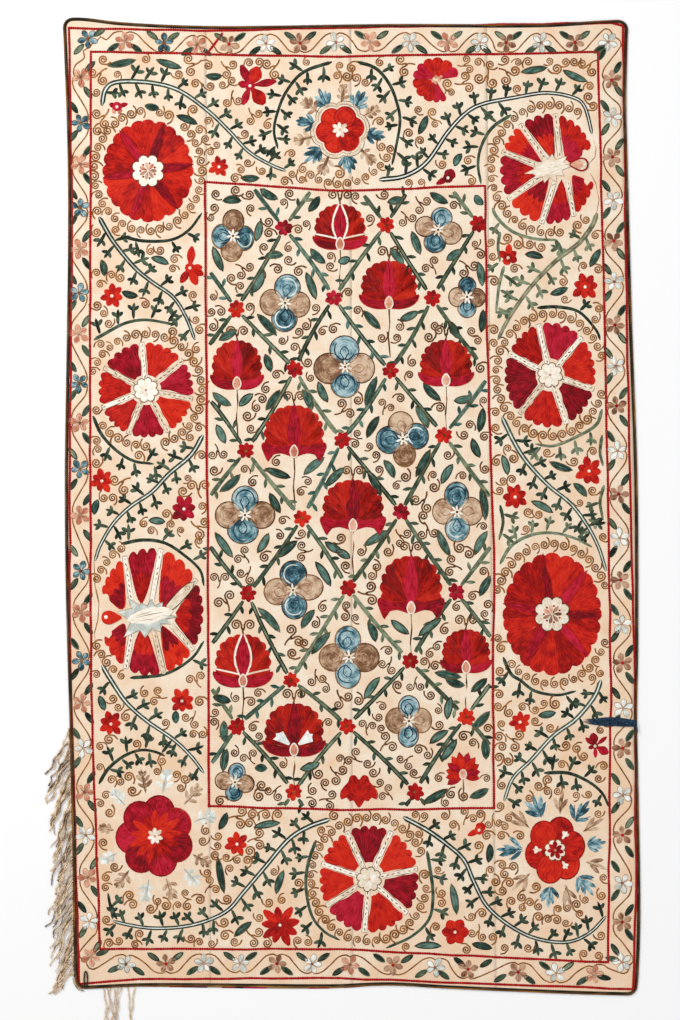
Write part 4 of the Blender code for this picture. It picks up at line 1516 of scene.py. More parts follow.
    def build(self) -> list[Object]:
        """Makes all ten."""
        tan, sky, white = Silk.TAUPE, Silk.SKY, Silk.PALE
        pieces = [self.full_flower(*row) for row in self.full]
        pieces += [self.spoked_flower(*row) for row in self.spoked]
        pieces += [self.feathered_flower(*row) for row in self.feathered]
        top = [(turn, sky) for turn in (117, 57, -9, -77, -138, 168)] + [
            (turn, tan) for turn in (87, 30, -43, -113, -166, 141)
        ]
        pieces.append(self.lobed_flower(
            Wheel("roundel_top_middle", 340, 130, 24, 24), Silk.RED, 6, 8, top, 23
        ))
        left = [(turn, tan) for turn in (102, 47, -26, -75, -127, 172)] + [
            (turn, white) for turn in (80, 20, -48, -98, -156, 134)
        ]
        pieces.append(self.lobed_flower(
            Wheel("roundel_left_bottom", 155, 836, 39, 41), Silk.CRIMSON, 7, 80, left, 26
        ))
        right = [(turn, sky) for turn in (112, 55, 9, -50, -97, 179)] + [
            (turn, tan) for turn in (82, 33, -21, -73, -137, 139)
        ]
        pieces.append(self.lobed_flower(
            Wheel("roundel_bottom_right", 555, 850, 30, 34), Silk.RED, 6, 72, right, 27
        ))
        return pieces

    def rings(self) -> list[tuple[Wheel, float]]:
        """The ovals that small curls follow, each a wheel and how far outside it they lie."""
        close = [row[0] for row in self.full + self.spoked + self.feathered]
        far = (
            (Wheel("", 340, 130, 24, 24), 30.0), (Wheel("", 155, 836, 39, 41), 24.0),
            (Wheel("", 555, 850, 30, 34), 25.0)
        )
        return [(wheel, self.tendril_gap) for wheel in close] + list(far)


class Stem(Enum):
    """The two sorts of stem in the wide border."""

    WHITE_CORED = "white_cored"
    PLAIN = "plain"


class Branch(NamedTuple):
    """A curved stem of the wide border, through points of the chart."""

    kind: Stem
    points: tuple[tuple[float, float], ...]
    silk: Silk = Silk.BOTTLE


W, P = Stem.WHITE_CORED, Stem.PLAIN


@dataclass
class Branches(Needlework):
    """The curved stems of the wide border, with sprigs of three leaves on both sides."""

    pitch: float = 16.5
    reach: float = 18.5
    top: tuple[Branch, ...] = rows_of(
        Branch,
        (W, (
            (102, 106), (106, 89), (119, 82), (152, 83), (180, 91), (208, 111), (228, 130), (249, 152),
            (271, 165), (286, 171)
        )),
        (P, ((332, 62), (304, 72), (288, 89), (279, 108), (274, 130), (278, 149))),
        (P, ((357, 62), (375, 68), (388, 82), (396, 100), (400, 121), (396, 147), (392, 165))),
        (W, (
            (379, 180), (405, 176), (427, 162), (448, 132), (466, 113), (483, 104), (513, 98), (546, 93),
            (574, 98), (585, 108), (592, 134)
        )),
        (P, ((511, 115), (492, 128), (481, 147), (478, 165), (481, 184)))
    )
    right: tuple[Branch, ...] = rows_of(
        Branch, (P, ((492, 208), (498, 219), (513, 232), (535, 239), (557, 240)), Silk.SAGE),
        (
            W,
            ((597, 213), (592, 226), (579, 243), (557, 260), (535, 282), (518, 304), (505, 325), (498, 340)),
            Silk.SAGE
        ),
        (P, ((537, 308), (557, 307), (579, 312), (596, 330), (600, 340))),
        (P, ((602, 409), (596, 425), (574, 438), (553, 446), (535, 444)), Silk.SAGE),
        (W, ((502, 417), (513, 440), (526, 461), (548, 485), (570, 503), (585, 522), (598, 546), (606, 571))),
        (P, ((500, 564), (511, 546), (531, 535), (553, 533), (574, 538), (592, 547)), Silk.SAGE),
        (P, ((503, 657), (511, 674), (520, 680), (535, 691), (557, 695), (576, 691))),
        (W, ((601, 680), (594, 697), (576, 719), (553, 736), (531, 760), (513, 778), (504, 801))),
        (P, ((544, 773), (568, 773), (589, 782), (602, 793), (609, 807))),
        (P, ((500, 232), (498, 246), (500, 262)), Silk.SAGE),
        (P, ((504, 266), (499, 286), (496, 312)), Silk.SAGE),
        (P, ((500, 505), (503, 522), (499, 540)), Silk.SAGE),
        (P, ((602, 435), (600, 452), (603, 466)), Silk.SAGE),
        (P, ((604, 485), (600, 502), (603, 520)), Silk.SAGE)
    )
    bottom: tuple[Branch, ...] = rows_of(
        Branch,
        (W, (
            (403, 817), (427, 830), (448, 845), (464, 860), (474, 882), (487, 906), (509, 925), (535, 938),
            (566, 942), (589, 933), (606, 916)
        )),
        (P, ((427, 851), (431, 875), (433, 897), (429, 919), (412, 936), (386, 948))),
        (P, ((316, 840), (308, 864), (306, 888), (312, 916), (325, 932), (340, 940))),
        (W, (
            (330, 819), (308, 827), (288, 840), (265, 867), (243, 893), (228, 910), (206, 921), (180, 927),
            (152, 928), (130, 925), (113, 921)
        )),
        (P, ((117, 919), (111, 907), (108, 893)))
    )
    left: tuple[Branch, ...] = rows_of(
        Branch, (W, ((102, 665), (111, 680), (126, 702), (147, 721), (173, 739), (191, 756), (204, 773))),
        (P, ((130, 678), (165, 674), (191, 659), (204, 641))),
        (P, ((99, 784), (108, 769), (124, 756), (141, 750), (156, 752), (165, 756))),
        (P, ((121, 544), (143, 540), (165, 543), (184, 555), (200, 570), (204, 586))),
        (W, ((203, 435), (191, 455), (169, 474), (152, 492), (130, 507), (113, 524), (100, 546), (95, 561))),
        (P, ((93, 416), (102, 435), (117, 451), (134, 461), (154, 464))),
        (W, ((99, 217), (113, 241), (134, 267), (152, 282), (173, 297), (186, 317), (195, 340))),
        (P, ((121, 236), (143, 241), (171, 240), (189, 230), (202, 213))),
        (P, ((94, 340), (108, 332), (126, 323), (147, 320), (176, 325)))
    )

    def grow(self, work: Embroidery, branch: Branch, clear: Callable[[float, float], bool]) -> None:
        """Lays a stem and sets its sprigs.

        Args:
            work: the piece of stitching.
            branch: the stem.
            clear: whether a sprig's middle may go at a place.
        """
        path = smooth(branch.points, 4.0)
        taper = np.linspace(1.0, 0.7, len(path))
        if branch.kind is Stem.WHITE_CORED:
            work.line(path, 6.0 * taper, branch.silk)
            core = (1.0, Silk.TAUPE) if branch.silk is Silk.SAGE else (1.25, Silk.PALE)
            work.line(path, core[0] * taper, core[1], layer=1, crown=0.5)
        else:
            work.line(path, 4.2 * taper, branch.silk)
        way = tangents(path)
        run = np.concatenate(([0.0], np.cumsum(np.linalg.norm(np.diff(path, axis=0), axis=1))))
        place_along = self.pitch * 0.45
        while place_along < run[-1] - 3:
            for side in (1, -1):
                at = place_along + (0 if side > 0 else self.pitch * 0.35)
                index = int(np.searchsorted(run, min(at, run[-1] - 2)))
                heading = math.degrees(math.atan2(-way[index, 1], way[index, 0]))
                turn = heading + side * work.rng.uniform(58, 78)
                reach = self.reach * work.rng.uniform(0.86, 1.10)
                root = Place(*path[index], turn).near(0.5, 0)
                tip = root.near(reach * 0.62, 0)
                if clear(tip.u, tip.v):
                    work.frond(root, reach, branch.silk, ((0.50, 0.44, 52),), 3.9)
            place_along += self.pitch * work.rng.uniform(0.92, 1.08)

    def build(self, rings: Sequence[tuple[Wheel, float]]) -> list[Object]:
        """Makes the stems, a piece for each side, with no sprig where the flowers' rings of curls go."""
        pieces = []
        for name, side in (
            ("top", self.top), ("right", self.right), ("bottom", self.bottom), ("left", self.left)
        ):
            work = self.start(f"branches_{name}")
            flowers = self.taken.copy()
            for wheel, gap in rings:
                if gap < 20:
                    flowers.block(wheel.u, wheel.v, wheel.wide + gap + 1, wheel.tall + gap + 1)
            for branch in side:
                self.grow(work, branch, lambda u, v: flowers.free(u, v, 5.5) and in_border(u, v))
            pieces.append(work.piece())
        return pieces


MIDDLE_LINE = {
    "left": ((52, 91), (340, 90), (680, 91), (954, 101)),
    "right": ((52, 598), (340, 605), (680, 611), (962, 608)), "top": ((91, 52), (340, 57), (598, 52)),
    "bottom": ((101, 954), (152, 949), (340, 949), (495, 957), (608, 962))
}
FIELD_LINE = {
    "left": ((182, 205), (340, 206), (548, 208), (806, 209)),
    "right": ((186, 485), (340, 487), (548, 494), (680, 493), (808, 494)),
    "top": ((205, 182), (340, 191), (485, 186)), "bottom": ((209, 806), (340, 810), (494, 808))
}


def within(lines: dict[str, tuple[tuple[float, float], ...]], u: float, v: float, margin: float) -> bool:
    """Whether a place is inside four boundary lines, by a margin."""
    def at(side: str, along: float) -> float:
        places, values = zip(*lines[side])
        return float(np.interp(along, places, values))

    across = at("left", v) + margin < u < at("right", v) - margin
    return across and at("top", u) + margin < v < at("bottom", u) - margin


def in_border(u: float, v: float, margin: float = 5.0) -> bool:
    """Whether a place is in the wide border, between the field and the guard border."""
    return within(MIDDLE_LINE, u, v, margin) and not within(FIELD_LINE, u, v, -margin)


class PetalPlan(NamedTuple):
    """A petal of a border flower: the way it points, where it starts and ends, and its width."""

    turn: float
    inner: float
    outer: float
    width: float
    silk: Silk


class Bloom(Enum):
    """The small flowers of the wide border, each with its petals in the order they are laid."""

    STAR = tuple(PetalPlan(90 + 360 / 7 * n, 1, 12.8 - n % 2 * 2, 7.4, Silk.RED) for n in range(7))
    LOBED = tuple(PetalPlan(60 * n, 0, 14, 12, Silk.RED) for n in range(6))
    TULIP = rows_of(
        PetalPlan, (84, 0, 22, 9, Silk.RED), (-118, 0, 17, 8, Silk.RED), (-66, 0, 19, 10, Silk.RED),
        (-28, 0, 16, 9, Silk.RED), (4, 0, 13, 8, Silk.RED)
    )
    PAIRED = rows_of(
        PetalPlan, (112, 0, 22, 9, Silk.CRIMSON), (12, 2, 26, 8, Silk.CRIMSON),
        (-114, 0, 20, 8, Silk.CRIMSON), (166, 0, 12, 8, Silk.CRIMSON), (66, 0, 22, 16, Silk.RED),
        (-56, 2, 24, 15, Silk.RED)
    )
    CUP = rows_of(
        PetalPlan, (160, 0, 9, 6, Silk.CRIMSON), (20, 0, 11, 5, Silk.CRIMSON), (-60, 0, 8, 7, Silk.ROSE),
        (-120, 0, 8, 7, Silk.ROSE), (-90, 0, 7, 6, Silk.CREAM)
    )
    HALF = rows_of(
        PetalPlan, (84, 0, 15, 8, Silk.RED), (40, 0, 11, 8, Silk.RED), (-20, 0, 10, 9, Silk.RED),
        (150, 0, 11, 8, Silk.RED), (-110, 0, 8, 10, Silk.RED)
    )
    SPIKY = tuple(PetalPlan(15 + 40 * n, 0, 19 + 3 * (n % 2), 9, Silk.RED) for n in range(9))
    PAISLEY = (PetalPlan(60, -4, 10, 13, Silk.CRIMSON), PetalPlan(205, -4, 14, 7, Silk.CRIMSON))


class BorderFlower(NamedTuple):
    """A small flower of the wide border, with the silk that takes its petals' place if given."""

    bloom: Bloom
    u: float
    v: float
    turn: float = 0.0
    size: float = 1.0
    silk: Silk | None = None


class BorderLeaf(NamedTuple):
    """A long leaf: its middle, the way it points, and its length."""

    u: float
    v: float
    turn: float
    length: float


@dataclass
class BorderFlowers(Needlework):
    """The small flowers and the long leaves between the branches."""

    flowers: tuple[BorderFlower, ...] = rows_of(
        BorderFlower, (Bloom.STAR, 219, 167, 10, 0.85), (Bloom.STAR, 112, 296, 0, 0.95),
        (Bloom.TULIP, 190, 268), (Bloom.PAIRED, 250, 86), (Bloom.CUP, 117, 107), (Bloom.PAISLEY, 448, 178),
        (Bloom.HALF, 508, 258), (Bloom.STAR, 585, 287, 20, 1.15), (Bloom.STAR, 102, 481, 8),
        (Bloom.STAR, 184, 509, 25, 1.1, Silk.CRIMSON), (Bloom.STAR, 589, 471, 12, 1.15),
        (Bloom.STAR, 515, 497, 35, 1.1), (Bloom.STAR, 111, 724, 15, 1.0), (Bloom.STAR, 182, 701, 30, 1.05),
        (Bloom.STAR, 237, 844, 5, 1.0), (Bloom.SPIKY, 280, 925), (Bloom.STAR, 520, 722, 0, 0.9),
        (Bloom.PAIRED, 595, 746, 30, 0.6, Silk.CRIMSON), (Bloom.PAISLEY, 479, 830, 0, 0.9, Silk.RED),
        (Bloom.LOBED, 455, 932)
    )
    carnation: Wheel = Wheel("border_carnation", 436, 80, 24, 23)
    carnation_sectors: tuple[Sector, ...] = rows_of(
        Sector, (38, 70, R), (70, 100, R), (100, 128, R), (128, 176, C), (176, 204, R), (204, 232, R),
        (232, 262, R), (262, 300, C), (8, 38, C)
    )
    leaves: tuple[BorderLeaf, ...] = rows_of(
        BorderLeaf, (122, 63, 12, 28), (169, 64, -18, 26), (214, 76, 0, 16), (152, 107, -10, 14),
        (187, 120, -22, 22), (250, 178, 0, 18), (103, 268, -80, 16), (160, 261, -20, 18), (130, 294, -15, 16),
        (534, 70, 10, 26), (575, 76, -25, 26), (423, 125, 65, 20), (458, 160, 60, 14), (534, 256, -10, 18),
        (595, 258, 60, 20), (559, 291, 20, 18), (96, 507, 75, 15), (157, 521, -5, 16), (561, 466, -20, 24),
        (580, 490, -45, 18), (542, 507, -28, 24), (505, 465, -75, 20), (102, 703, -70, 15),
        (176, 717, 90, 12), (223, 821, 65, 18), (267, 825, 10, 26), (280, 882, 72, 24), (221, 875, -80, 36),
        (243, 929, 40, 22), (547, 714, 10, 17), (454, 899, -80, 30), (489, 853, 85, 18), (428, 946, 0, 26),
        (482, 946, -12, 20)
    )

    def build(self) -> list[Object]:
        """Makes the flowers as one piece and the leaves as another."""
        work = self.start("border_flowers")
        for flower in self.flowers:
            for plan in flower.bloom.value:
                wobble = work.rng.uniform(0.93, 1.07)
                place = Place(
                    flower.u, flower.v, flower.turn + plan.turn + work.rng.uniform(-4, 4),
                    flower.size * wobble
                )
                work.petal(place, plan.inner, plan.outer, plan.width, flower.silk or plan.silk)
            work.disc(
                Place(flower.u, flower.v), 5.2 * flower.size, flower.silk or flower.bloom.value[0].silk,
                points=10
            )
            work.disc(Place(flower.u, flower.v), 1.6, Silk.CREAM, layer=3, points=7)
        wheel = self.carnation
        place = Place(wheel.u, wheel.v)
        for sector in self.carnation_sectors:
            lobes = 1 if sector.end - sector.start < 34 else 2
            outline = wedge_outline(
                wheel.wide, wheel.tall, (sector.start - 1, sector.end + 1), 0.14, lobes, depth=0.12
            )
            work.fill(place.at(outline), sector.silk, lay=Lay.FAN, source=(wheel.u, wheel.v), crown=1.1)
        for a, b in ((3, 0), (0, 3), (-3, -1), (0, -3), (5, 3)):
            work.disc(place.near(a, b), 1.7, Silk.ROSE, layer=2, points=7)
        leaves = self.start("border_leaves")
        for leaf in self.leaves:
            leaves.leaf(Place(leaf.u, leaf.v, leaf.turn), leaf.length, 6.4, bend=leaves.rng.uniform(-1, 1))
        return [work.piece(), leaves.piece()]


class Carnation(NamedTuple):
    """A large flower of the field: its middle, its width and height, and whether its wings droop."""

    u: float
    v: float
    wide: float
    tall: float
    droop: bool = False


class Quatrefoil(NamedTuple):
    """A flower of four round petals: its middle, its upright pair's silk, its breadth and height."""

    u: float
    v: float
    upright: Silk
    wide: float
    tall: float
    turn: float = 0.0


@dataclass
class Field(Needlework):
    """The middle of the cloth: a lattice of stems with large flowers in its spaces."""

    nodes: tuple[tuple[tuple[float, float], ...], ...] = (
        ((284, 228), (386, 225), (478, 224)), ((236, 309), (334, 298), (432, 298)), ((295, 369), (390, 371)),
        ((246, 451), (342, 440), (444, 435)), ((302, 518), (401, 512)), ((248, 594), (348, 588), (456, 592)),
        ((291, 680), (410, 661)), ((237, 726), (347, 726), (466, 717)), ((294, 792), (415, 792))
    )
    step: tuple[float, float] = (52.0, 70.0)
    stem_width: float = 5.0
    thorn_pitch: float = 11.5
    raised: tuple[tuple[float, float], ...] = (
        (0.02, -0.54), (0.36, -0.55), (0.72, -0.47), (1.04, -0.34), (1.0, -0.56), (0.82, -0.76),
        (0.52, -0.88), (0.25, -0.90), (0.02, -0.84)
    )
    hanging: tuple[tuple[float, float], ...] = (
        (0.02, -0.42), (0.38, -0.47), (0.72, -0.43), (0.98, -0.34), (1.06, -0.46), (1.0, -0.68),
        (0.84, -1.02), (0.74, -0.80), (0.42, -0.72), (0.02, -0.82)
    )
    carnations: tuple[Carnation, ...] = rows_of(
        Carnation, (340, 228, 52, 48), (389, 286, 57, 51), (237, 366, 51, 52), (446, 364, 53, 49),
        (294, 433, 61, 56, True), (353, 507, 62, 55, True), (411, 587, 63, 63, True), (466, 652, 49, 46)
    )
    quatrefoils: tuple[Quatrefoil, ...] = rows_of(
        Quatrefoil, (233, 236, Silk.TAUPE, 0.92, 1.15), (438, 230, Silk.SKY, 1.02, 1.02, -14),
        (285, 303, Silk.SKY, 1.10, 1.26), (467, 297, Silk.SKY, 0.78, 0.90), (345, 367, Silk.SKY, 1.30, 1.38),
        (403, 439, Silk.TAUPE, 1.12, 1.24), (245, 515, Silk.SKY, 1.32, 1.26),
        (457, 512, Silk.SKY, 1.08, 1.30), (293, 590, Silk.SKY, 1.26, 1.28), (349, 657, Silk.SKY, 1.26, 1.36),
        (409, 721, Silk.SKY, 0.98, 1.14), (235, 782, Silk.SKY, 0.84, 0.84)
    )
    leaves: tuple[BorderLeaf, ...] = rows_of(
        BorderLeaf, (232, 201, 0, 18), (269, 194, -30, 20), (218, 259, -68, 26), (258, 231, 78, 20),
        (274, 256, 5, 18), (258, 282, 62, 24), (311, 286, -70, 28), (318, 256, -45, 20), (314, 204, 55, 18),
        (267, 325, -48, 28), (228, 335, 30, 20), (396, 201, 10, 17), (439, 198, -30, 20), (479, 200, -50, 12),
        (416, 243, -70, 24), (454, 255, 35, 18), (397, 256, -50, 20), (480, 274, -80, 24), (344, 260, 20, 12),
        (372, 320, -48, 24), (409, 316, 25, 20), (482, 321, 85, 22), (454, 330, -60, 20), (268, 363, -72, 18),
        (222, 399, -35, 22), (246, 400, 42, 18), (273, 400, 55, 24), (307, 400, -65, 22), (323, 392, -65, 22),
        (221, 434, -65, 20), (230, 483, 40, 26), (278, 473, -20, 26), (314, 466, 40, 26), (335, 477, 45, 26),
        (275, 503, -62, 22), (224, 545, -55, 30), (263, 543, 60, 22), (288, 549, 42, 24), (323, 574, -58, 28),
        (269, 620, -48, 32), (308, 619, 55, 22), (321, 643, 50, 28), (334, 547, -30, 20), (371, 391, 68, 30),
        (432, 392, -45, 24), (463, 399, 12, 18), (481, 420, 80, 24), (422, 417, -60, 24), (476, 448, -68, 20),
        (373, 427, 60, 24), (389, 469, -60, 20), (423, 463, 62, 30), (447, 474, 60, 22), (374, 483, -62, 26),
        (483, 504, -82, 32), (376, 538, 32, 28), (444, 543, -65, 28), (481, 543, 62, 26), (343, 554, -30, 16),
        (485, 586, 62, 22), (400, 627, -38, 22), (430, 627, 38, 28), (372, 632, -70, 20), (448, 675, -10, 26),
        (222, 699, -15, 18), (224, 731, 90, 20), (225, 760, 80, 22), (310, 766, 18, 20), (261, 768, 0, 12),
        (372, 688, 55, 26), (455, 682, -20, 20), (479, 685, 40, 20), (449, 708, 80, 22), (481, 720, 45, 24),
        (439, 737, 35, 22), (449, 750, 55, 26), (485, 749, -85, 20), (435, 796, 30, 28), (479, 793, 25, 20)
    )

    def crowns(self) -> list[tuple[float, float, float]]:
        """Places for the twin curls on top of the large flowers."""
        flowers = list(self.carnations) + [Carnation(243, 662, 57, 56), Carnation(294, 731, 60, 56)]
        return [(flower.u, flower.v - flower.tall / 2 - 5.5, 0.0) for flower in flowers]

    def links(self) -> list[tuple[Points, Points]]:
        """The stretches between neighbouring nodes, and from the outer ones to the field's line."""
        stretches = []
        for row, nodes in enumerate(self.nodes):
            for side in (-1, 1):
                for below in (True, False):
                    other = row + 1 if below else row - 1
                    rows = self.nodes[other] if 0 <= other < len(self.nodes) else ()
                    for node in nodes:
                        start = np.array(node, float)
                        goal = start + (side * self.step[0], self.step[1] * (1 if below else -1))
                        near = [np.array(n, float) for n in rows if np.hypot(*(np.array(n) - goal)) < 34]
                        if near and not below:
                            continue
                        stretches.append((start, near[0] if near else goal))
        return stretches

    def stem(self, work: Embroidery, start: Points, end: Points) -> None:
        """Lays one stretch of a stem, with small round-ended thorns on both sides."""
        length = np.hypot(*(end - start))
        way = (end - start) / length
        side = np.array([way[1], -way[0]])
        silk = work.rng.choice((Silk.BOTTLE, Silk.TEAL, Silk.SAGE, Silk.BOTTLE))
        bow = work.rng.uniform(-2.5, 2.5)
        run = np.arange(8.5, length - 7.5, 4.0)
        path = start + way * run[:, None] + side * (bow * np.sin(np.pi * run / length))[:, None]
        keep = np.array([within(FIELD_LINE, u, v, 2.5) for u, v in path])
        path = path[:int(np.argmin(keep))] if not keep.all() else path
        if len(path) < 3:
            return
        work.line(path, self.stem_width * np.linspace(0.9, 1.1, len(path)), silk, ends=(0.7, 0.7))
        if silk is not Silk.SAGE:
            work.line(path, 1.6, Silk.SAGE, layer=1, crown=0.5)
        thorn_side = work.rng.choice((1, -1))
        at = self.thorn_pitch * 0.6
        while at < len(path) * 4.0 - 4:
            thorn_side = -thorn_side
            index = min(len(path) - 1, int(at / 4.0))
            turn = math.degrees(math.atan2(-way[1], way[0])) + thorn_side * work.rng.uniform(38, 56)
            place = Place(*path[index], turn)
            outline = petal_outline(work.rng.uniform(9.5, 12), 4.3, 1.2, 5) + (0.5, 0)
            work.fill(place.at(outline), silk, lay=Lay.LENGTHWISE, source=path[index], shares=(1.0, 0.6))
            at += self.thorn_pitch * work.rng.uniform(0.8, 1.1)

    def carnation(self, work: Embroidery, flower: Carnation, white: bool = False) -> None:
        """Fills a fan of red petals with a crimson petal in its middle and crimson wings below.

        Args:
            work: the piece of stitching.
            flower: its middle and its size.
            white: whether white lines part its petals, as on a lily.
        """
        place = Place(flower.u, flower.v)
        sheet = np.array((flower.wide / 2, flower.tall / 2))
        source = place.at([sheet * (0, -0.72)])[0]
        rim = smooth(
            [
                (0, 1.0), (0.25, 0.985), (0.48, 0.91), (0.68, 0.78), (0.84, 0.58), (0.95, 0.33), (1.0, 0.05),
                (0.98, -0.24), (0.92, -0.50)
            ],
            0.04
        )
        share = np.linspace(0, 1, len(rim))
        middle = np.array((0.0, -0.35))
        swell = 1 - np.minimum(0.04 + 0.14 * share, 0.11) * (1 - np.abs(np.sin(np.pi * 6 * share)) ** 0.6)
        rim = middle + (rim - middle) * swell[:, None]
        for side in (1, -1):
            mirror = sheet * (side, 1)
            for low, high in ((0.0, 0.36), (0.32, 0.70), (0.66, 1.0)):
                part = rim[int(low * len(rim)):int(high * len(rim)) + 1]
                shape = np.vstack((part, [(0.03, -0.62), (-0.02, -0.5)]))
                work.fill(place.at(shape * mirror), Silk.DEEP, lay=Lay.FAN, source=source, crown=1.1)
                vein = np.array([(0.05, -0.45), part[0] * 0.6, part[0] * 0.94])
                work.line(place.at(vein * mirror), 1.1, Silk.DEEP, layer=1, crown=1.0)
            wing = smooth(self.hanging if flower.droop else self.raised, 0.12, True)
            work.outlined(
                place.at(wing * mirror), Silk.CRIMSON, Silk.DEEP, 0.8, lay=Lay.FAN, source=source, layer=1
            )
            if white:
                band = smooth([(0.08, -0.52), (0.26, -0.1), (0.27, 0.35), (0.12, 0.80), (0.02, 1.0)], 0.15)
                work.line(place.at(band * mirror), 2.0, Silk.CREAM, layer=2, ends=(0.8, 0.3))
                band = smooth([(0.08, -0.46), (0.36, -0.38), (0.72, -0.30), (1.0, -0.24)], 0.15)
                work.line(place.at(band * mirror), 1.7, Silk.CREAM, layer=2, ends=(0.8, 0.3))
        petal = [(0, -0.80), (0.12, -0.45), (0.22, -0.05), (0.21, 0.30), (0.12, 0.66), (0, 1.05)]
        petal += [(-a, b) for a, b in petal[-2:0:-1]]
        drawn = place.at(smooth(petal, 0.12, True) * sheet)
        work.fill(drawn, Silk.CRIMSON, lay=Lay.LENGTHWISE, source=source, layer=2)
        work.line(
            place.at(np.array([(0, -0.4), (0.02, 0.2), (0, 0.85)]) * sheet), 1.0, Silk.CRIMSON, layer=3,
            crown=0.9
        )
        drop = place.near(0, -0.66 * sheet[1])
        outline = smooth(
            [
                (0, 6.5), (2.8, 3.4), (3.9, -0.5), (2.6, -4.6), (0, -6.0), (-2.6, -4.6), (-3.9, -0.5),
                (-2.8, 3.4)
            ],
            2.0, True
        )
        work.outlined(drop.at(outline), Silk.ROSE, Silk.CREAM, 1.2, layer=3, crown=1.1)
        foot = place.near(0, -0.84 * sheet[1])
        long = min(50.0, 790 - foot.v)
        work.line(
            foot.at([(0, 1), (0.8, -0.3 * long), (-0.6, -0.6 * long), (1.2, -long)]), 1.9, Silk.RUST,
            ends=(1.0, 0.6)
        )
        for share in (0.3, 0.6, 0.9):
            self.taken.block(foot.u, foot.v + share * long, 2.0, 7.0)
        self.taken.block(flower.u, flower.v, flower.wide / 2, flower.tall / 2)

    def quatrefoil(self, work: Embroidery, flower: Quatrefoil) -> None:
        """Fills four round petals with threads laid round and round, and a cream star between."""
        place = Place(flower.u, flower.v, flower.turn + work.rng.uniform(-6, 6))
        other = Silk.SKY if flower.upright is Silk.TAUPE else Silk.TAUPE
        for turn in (0, 90, 180, 270):
            silk = flower.upright if turn in (90, 270) else other
            away = np.array(polar(12.4, turn + work.rng.uniform(-6, 6))) * (flower.wide, flower.tall)
            lobe = place.near(*away)
            wide, tall = work.rng.uniform(10.0, 11.8) * flower.wide, work.rng.uniform(9.8, 11.2) * flower.tall
            round_edge = lobe.at(scallops(wide, tall, 1, 0.0, 20))
            work.outlined(
                round_edge, silk, Silk.RUST, 1.1, lay=Lay.AROUND, crown=1.2, shares=(1.0, 0.85, 0.6, 0.3)
            )
            inner = lobe._replace(turn=turn + work.rng.uniform(-20, 20)).at(petal_outline(12, 8.5) - (9, 0))
            work.edge(inner, 1.3, Silk.INK if silk is Silk.SKY else Silk.BRICK, layer=2)
            if silk is Silk.SKY:
                arc = lobe._replace(turn=work.rng.uniform(0, 360)).at(
                    scallops(wide * 0.7, tall * 0.7, 1, 0.0, 16)[:10]
                )
                work.line(arc, 1.3, work.rng.choice((Silk.PALE, Silk.INK, Silk.INK)), layer=2)
        work.flower(place, 7, 6.8, 2.3, Silk.CREAM, Silk.RUST, layer=3)
        self.taken.block(flower.u, flower.v, 22 * flower.wide, 22 * flower.tall)

    def build(self) -> list[Object]:
        """Makes the lattice, its rosettes, the large flowers and the leaves."""
        large = self.start("field_carnations")
        for flower in self.carnations:
            self.carnation(large, flower, flower.u == 340)
        self.carnation(large, Carnation(243, 662, 57, 56), True)
        self.fan(large)
        self.bell(large)
        self.lotus(large)
        four = self.start("field_quatrefoils")
        for flower in self.quatrefoils:
            self.quatrefoil(four, flower)
        stems = self.start("field_stems")
        for start, end in self.links():
            self.stem(stems, start, end)
        small = self.start("field_rosettes")
        for row in self.nodes:
            for u, v in row:
                small.flower(
                    Place(u, v, small.rng.uniform(0, 50)), 7, 8.6, 5.6,
                    small.rng.choice((Silk.RED, Silk.LINE, Silk.LINE, Silk.CRIMSON)), Silk.RUST, layer=1
                )
                self.taken.block(u, v, 8, 8)
        leaves = self.start("field_leaves")
        for leaf in self.leaves:
            leaves.leaf(
                Place(leaf.u, leaf.v, leaf.turn), leaf.length, 7.2, bend=leaves.rng.uniform(-1.2, 1.2)
            )
        return [large.piece(), four.piece(), stems.piece(), small.piece(), leaves.piece()]

    def fan(self, work: Embroidery) -> None:
        """Fills the carnation that has two white petals."""
        self.carnation(work, Carnation(294, 731, 60, 56))
        for turn in (38, 142):
            place = Place(294, 748, turn)
            outline = [(6, -1.2), (19, -6.5), (21, -2.5), (23.5, -0.5), (21, 2.0), (22, 6.0), (6, 1.2)]
            work.fill(
                place.at(outline), Silk.PALE, lay=Lay.FAN, source=(294, 748), layer=3, shares=(1.0, 0.6)
            )

    def bell(self, work: Embroidery) -> None:
        """Fills the small bell flower."""
        place = Place(359, 791)
        half = [
            (0, 11), (4, 15.5), (8.5, 14.5), (10.5, 9), (15, 4), (18.5, -2), (17.5, -8), (12.5, -6), (9, -10),
            (5.5, -9), (0, -16)
        ]
        outline = smooth(half + [(-a, b) for a, b in half[-2:0:-1]], 2.2, True)
        work.outlined(place.at(outline), Silk.RED, Silk.DEEP, 0.9, lay=Lay.FAN, source=(359, 800), crown=1.2)
        for side in (1, -1):
            work.line(place.at([(0, -12), (side * 3, -2), (side * 5, 8)]), 1.4, Silk.DEEP, layer=1)
        self.taken.block(358, 791, 18, 16)

